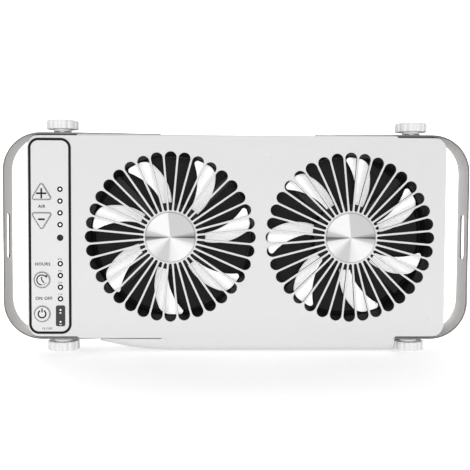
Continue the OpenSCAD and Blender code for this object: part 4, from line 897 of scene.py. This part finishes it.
plusY, minusY, timerY, powerY = buttonY.values()
arrowHead = np.array([[2.2, 3.6], [4.2, 1.5], [4.4, 4.1]]) + [bx, timerY]
marks = {
    "plus": [plusOutline(0.686, 4.116, bx, plusY - 1.35)],
    "minus": [bar(5.4, 1.5, bx, minusY + 1.1)],
    "timer": [openRing(4.0, 0.95, bx, timerY, 40, 268), arrowHead,
              bar(0.9, 2.9, bx - 0.1, timerY + 1.15), bar(0.9, 2.9, bx + 0.78, timerY - 1.15, 36)]
             + [openRing(4.0, 0.8, bx, timerY, a, a + 9) for a in (280, 298, 316)],
    "power": [openRing(3.05, 1.15, bx, powerY, -242, 62), bar(1.05, 3.4, bx, powerY + 2.9)]}
for name in buttonY:
    lineOut, lineIn = (buttonOutline(name, -controls["lineIn"] - w) for w in (0, controls["line"]))
    shapes = joined(printed(lineOut, [lineIn]), *[printed(mark) for mark in marks[name]])
    seat(addMesh(name + "Mark", *shapes), name + "_button", "panel_print")


def lettering(text, size, cx, cy, bold):
    # words on the panel's face as flat faces with a thin edge, centred on a point
    depth = 0.03
    curve = bpy.data.curves.new("word", "FONT")
    curve.body, curve.size, curve.align_x, curve.align_y = text, size, "CENTER", "CENTER"
    curve.extrude, curve.resolution_u, curve.space_character, curve.offset = depth, 3, 1.1, bold
    word = newObject("word", curve)
    bpy.context.view_layer.update()
    mesh = bpy.data.meshes.new_from_object(word)
    points = vectors(mesh.vertices, "co") + [cx, cy, face + depth]
    faces = [list(f.vertices) for f in mesh.polygons]
    bpy.data.objects.remove(word)
    bpy.data.curves.remove(curve)
    return points, faces


words = [lettering(text, 3.5, bx + dx, y, 0.08)
         for text, dx, y in (("AIR", 0.1, 24.1), ("HOURS", 0.6, -22.4), ("ON OFF", 1.4, -50.2))]
words += [lettering(text, 2.0, lx - 0.2, y + 3.7, 0.03)
          for text, y in zip(("8 H", "4 H", "2 H", "1 H"), lightY[4:])]
words.append(lettering("12 V DC", 2.1, bx + 4.0, -74.6, 0.05))
seat(addMesh("panelWords", *joinedSolids(words), sharp=30), "housing", "panel_print")


def domes(centres, radius, top, rise, count=32):
    # round lenses that reach the circuit board: a low dome over a straight side, all in one mesh
    a = np.linspace(0, np.pi / 2, 6)
    dome = np.stack([radius * np.sin(a), top - rise + rise * np.cos(a)], 1)
    profile = [*dome, (radius, boardFront), (0, boardFront)]
    return joinedSolids([lathe(profile, count, x, y) for x, y in centres])


lights = [(lx, y) for y in lightY]
lenses = addMesh("indicatorLights", *domes(lights, controls["lens"], face + 0.1, 0.2), sharp=40)
seat(lenses, "housing", "light_lens", "indicator_lights")
r0, r1 = controls["lens"] + 0.02, controls["ringRadius"] - 0.02
rim = face + 0.1
profile = [(r0, face + 0.02), (r0 + 0.1, rim), (r1 - 0.1, rim), (r1, face), (r1, floor), (r0, floor)]
points, faces = joinedSolids([lathe(profile, 36, x, y) for x, y in lights])
piece = addMesh("indicatorRings", points, turnedOut(points, faces), sharp=30)
seat(piece, "housing", "panel_print", "indicator_rings")
window = domes([(lx, controls["windowY"])], controls["windowRadius"] - 0.03, face + 0.1, 0.25, 48)
piece = addMesh("receiverWindow", *window, sharp=40)
seat(piece, "housing", "smoked", "receiver_window")
dress(piece, "lens_black")

flowW, flowH, flowMid = controls["flow"]
flowY = [flowMid + sign * controls["flowLights"] / 2 for sign in (-1, 1)]
flowFace = face + 0.3
flowOutline = roundedRect(flowW - 0.05, flowH - 0.05, controls["flowCorner"], lx, flowMid, 6)
flowHoles = [ring(controls["flowLens"], 24, lx, y) for y in flowY]
indicator = plate(flowOutline, flowHoles, flowFace, plateBackZ - 1, 0.3, 0.1, steps=4)
seat(addMesh("airflowIndicator", *indicator), "housing", "smoked", "airflow_indicator")
flowLenses = domes([(lx, y) for y in flowY], controls["flowLens"] - 0.02, flowFace + 0.1, 0.2, 28)
seat(addMesh("airflowLights", *flowLenses, sharp=40), "housing", "light_lens", "airflow_lights")
flowMarks = [bar(1.9, 0.35, lx, flowY[1] - 2.2), bar(1.2, 0.35, lx, flowY[1] - 2.9),
             openRing(1.0, 0.35, lx, flowY[0] - 1.4, 200, 340)]
shapes = joined(*[printed(mark, (), flowFace) for mark in flowMarks])
seat(addMesh("airflowMarks", *shapes), "housing", "light_lens")
print("control panel made")


# Camera, light and ground

view = {"place": (-21.3, -639.3, 31.5), "yaw": 1.75, "pitch": 2.76, "roll": 0.32, "focal": 761.5,
        "image": 470}
camera = newObject("camera", bpy.data.cameras.new("camera"))
yaw, pitch, roll = (math.radians(view[k]) for k in ("yaw", "pitch", "roll"))
ahead = np.array([math.sin(yaw) * math.cos(pitch), math.cos(yaw) * math.cos(pitch), -math.sin(pitch)])
level = np.array([math.cos(yaw), -math.sin(yaw), 0])
upright = np.cross(level, ahead)
right = math.cos(roll) * level + math.sin(roll) * upright
up = math.cos(roll) * upright - math.sin(roll) * level
axes = np.stack([right, up, -ahead], 1).tolist()
camera.matrix_world = Matrix([(*row, p / 1000) for row, p in zip(axes, view["place"])] + [(0, 0, 0, 1)])
camera.data.sensor_width, camera.data.lens = 36, 36 * view["focal"] / view["image"]
camera.data.clip_start, camera.data.clip_end = 0.05, 50
bpy.context.scene.camera = camera

# the ground's height in mm; a softbox is its place and size in metres, and its power
studio = {"ground": -94.45, "world": 0.46, "floorGlow": 0.37, "backGlow": 0.9}
softboxes = {"frontSoftbox": ((-0.05, -1.5, 0.06), 0.5, 17.5), "topSoftbox": ((0.1, -0.5, 1.4), 1.2, 0.4),
             "rearSoftbox": ((-0.5, 1.05, 0.7), 1.2, 8.0)}
for name, (place, size, power) in softboxes.items():
    light = bpy.data.lights.new(name, "AREA")
    light.shape, light.size, light.energy = "DISK", size, power
    lamp = newObject(name, light)
    lamp.location = place
    lamp.rotation_mode = "QUATERNION"
    lamp.rotation_quaternion = (-Vector(place)).to_track_quat("-Z", "Y")
world = bpy.data.worlds.new("studio")
bpy.context.scene.world = world
world.use_nodes = True
background = world.node_tree.nodes["Background"].inputs
background["Color"].default_value = (1, 1, 1, 1)
background["Strength"].default_value = studio["world"]

# seamless paper: floor, a quarter round behind the object, and an upright sheet
paper = {"front": -0.4, "seam": 0.35, "bendFrom": 1.3, "radius": 0.4, "top": 3.2, "half": 3.2}
r = paper["radius"]
bend = arc(paper["bendFrom"], r, r, -90, 0, 13)
flat, upright = [[paper["front"], 0], [paper["seam"], 0]], [[paper["bendFrom"] + r, paper["top"]]]
paperLine = np.concatenate([flat, bend, upright])
y, z = paperLine[:, :1], paperLine[:, 1:] + studio["ground"] / 1000
paperGrid = np.stack(np.broadcast_arrays([[-paper["half"], paper["half"]]], y, z), -1)
n = len(paperLine)
i = np.arange(n - 1)[:, None] * 2
ground = bpy.data.meshes.new("ground")
ground.from_pydata(paperGrid.reshape(-1, 3).tolist(), [], (i + [0, 1, 3, 2]).tolist())
for name, glow in (("floor_paper", studio["floorGlow"]), ("back_paper", studio["backGlow"])):
    white = finish(name, (0.95, 0.95, 0.95), 0.9, [(4, 0.01)], tint=0.003, shift=0.03, glow=glow)
    ground.materials.append(white)
ground.polygons.foreach_set("material_index", np.minimum(np.arange(n - 1), 1))
newObject("ground", ground)
bpy.context.scene.view_settings.view_transform = "Standard"
print("camera, light and ground made")
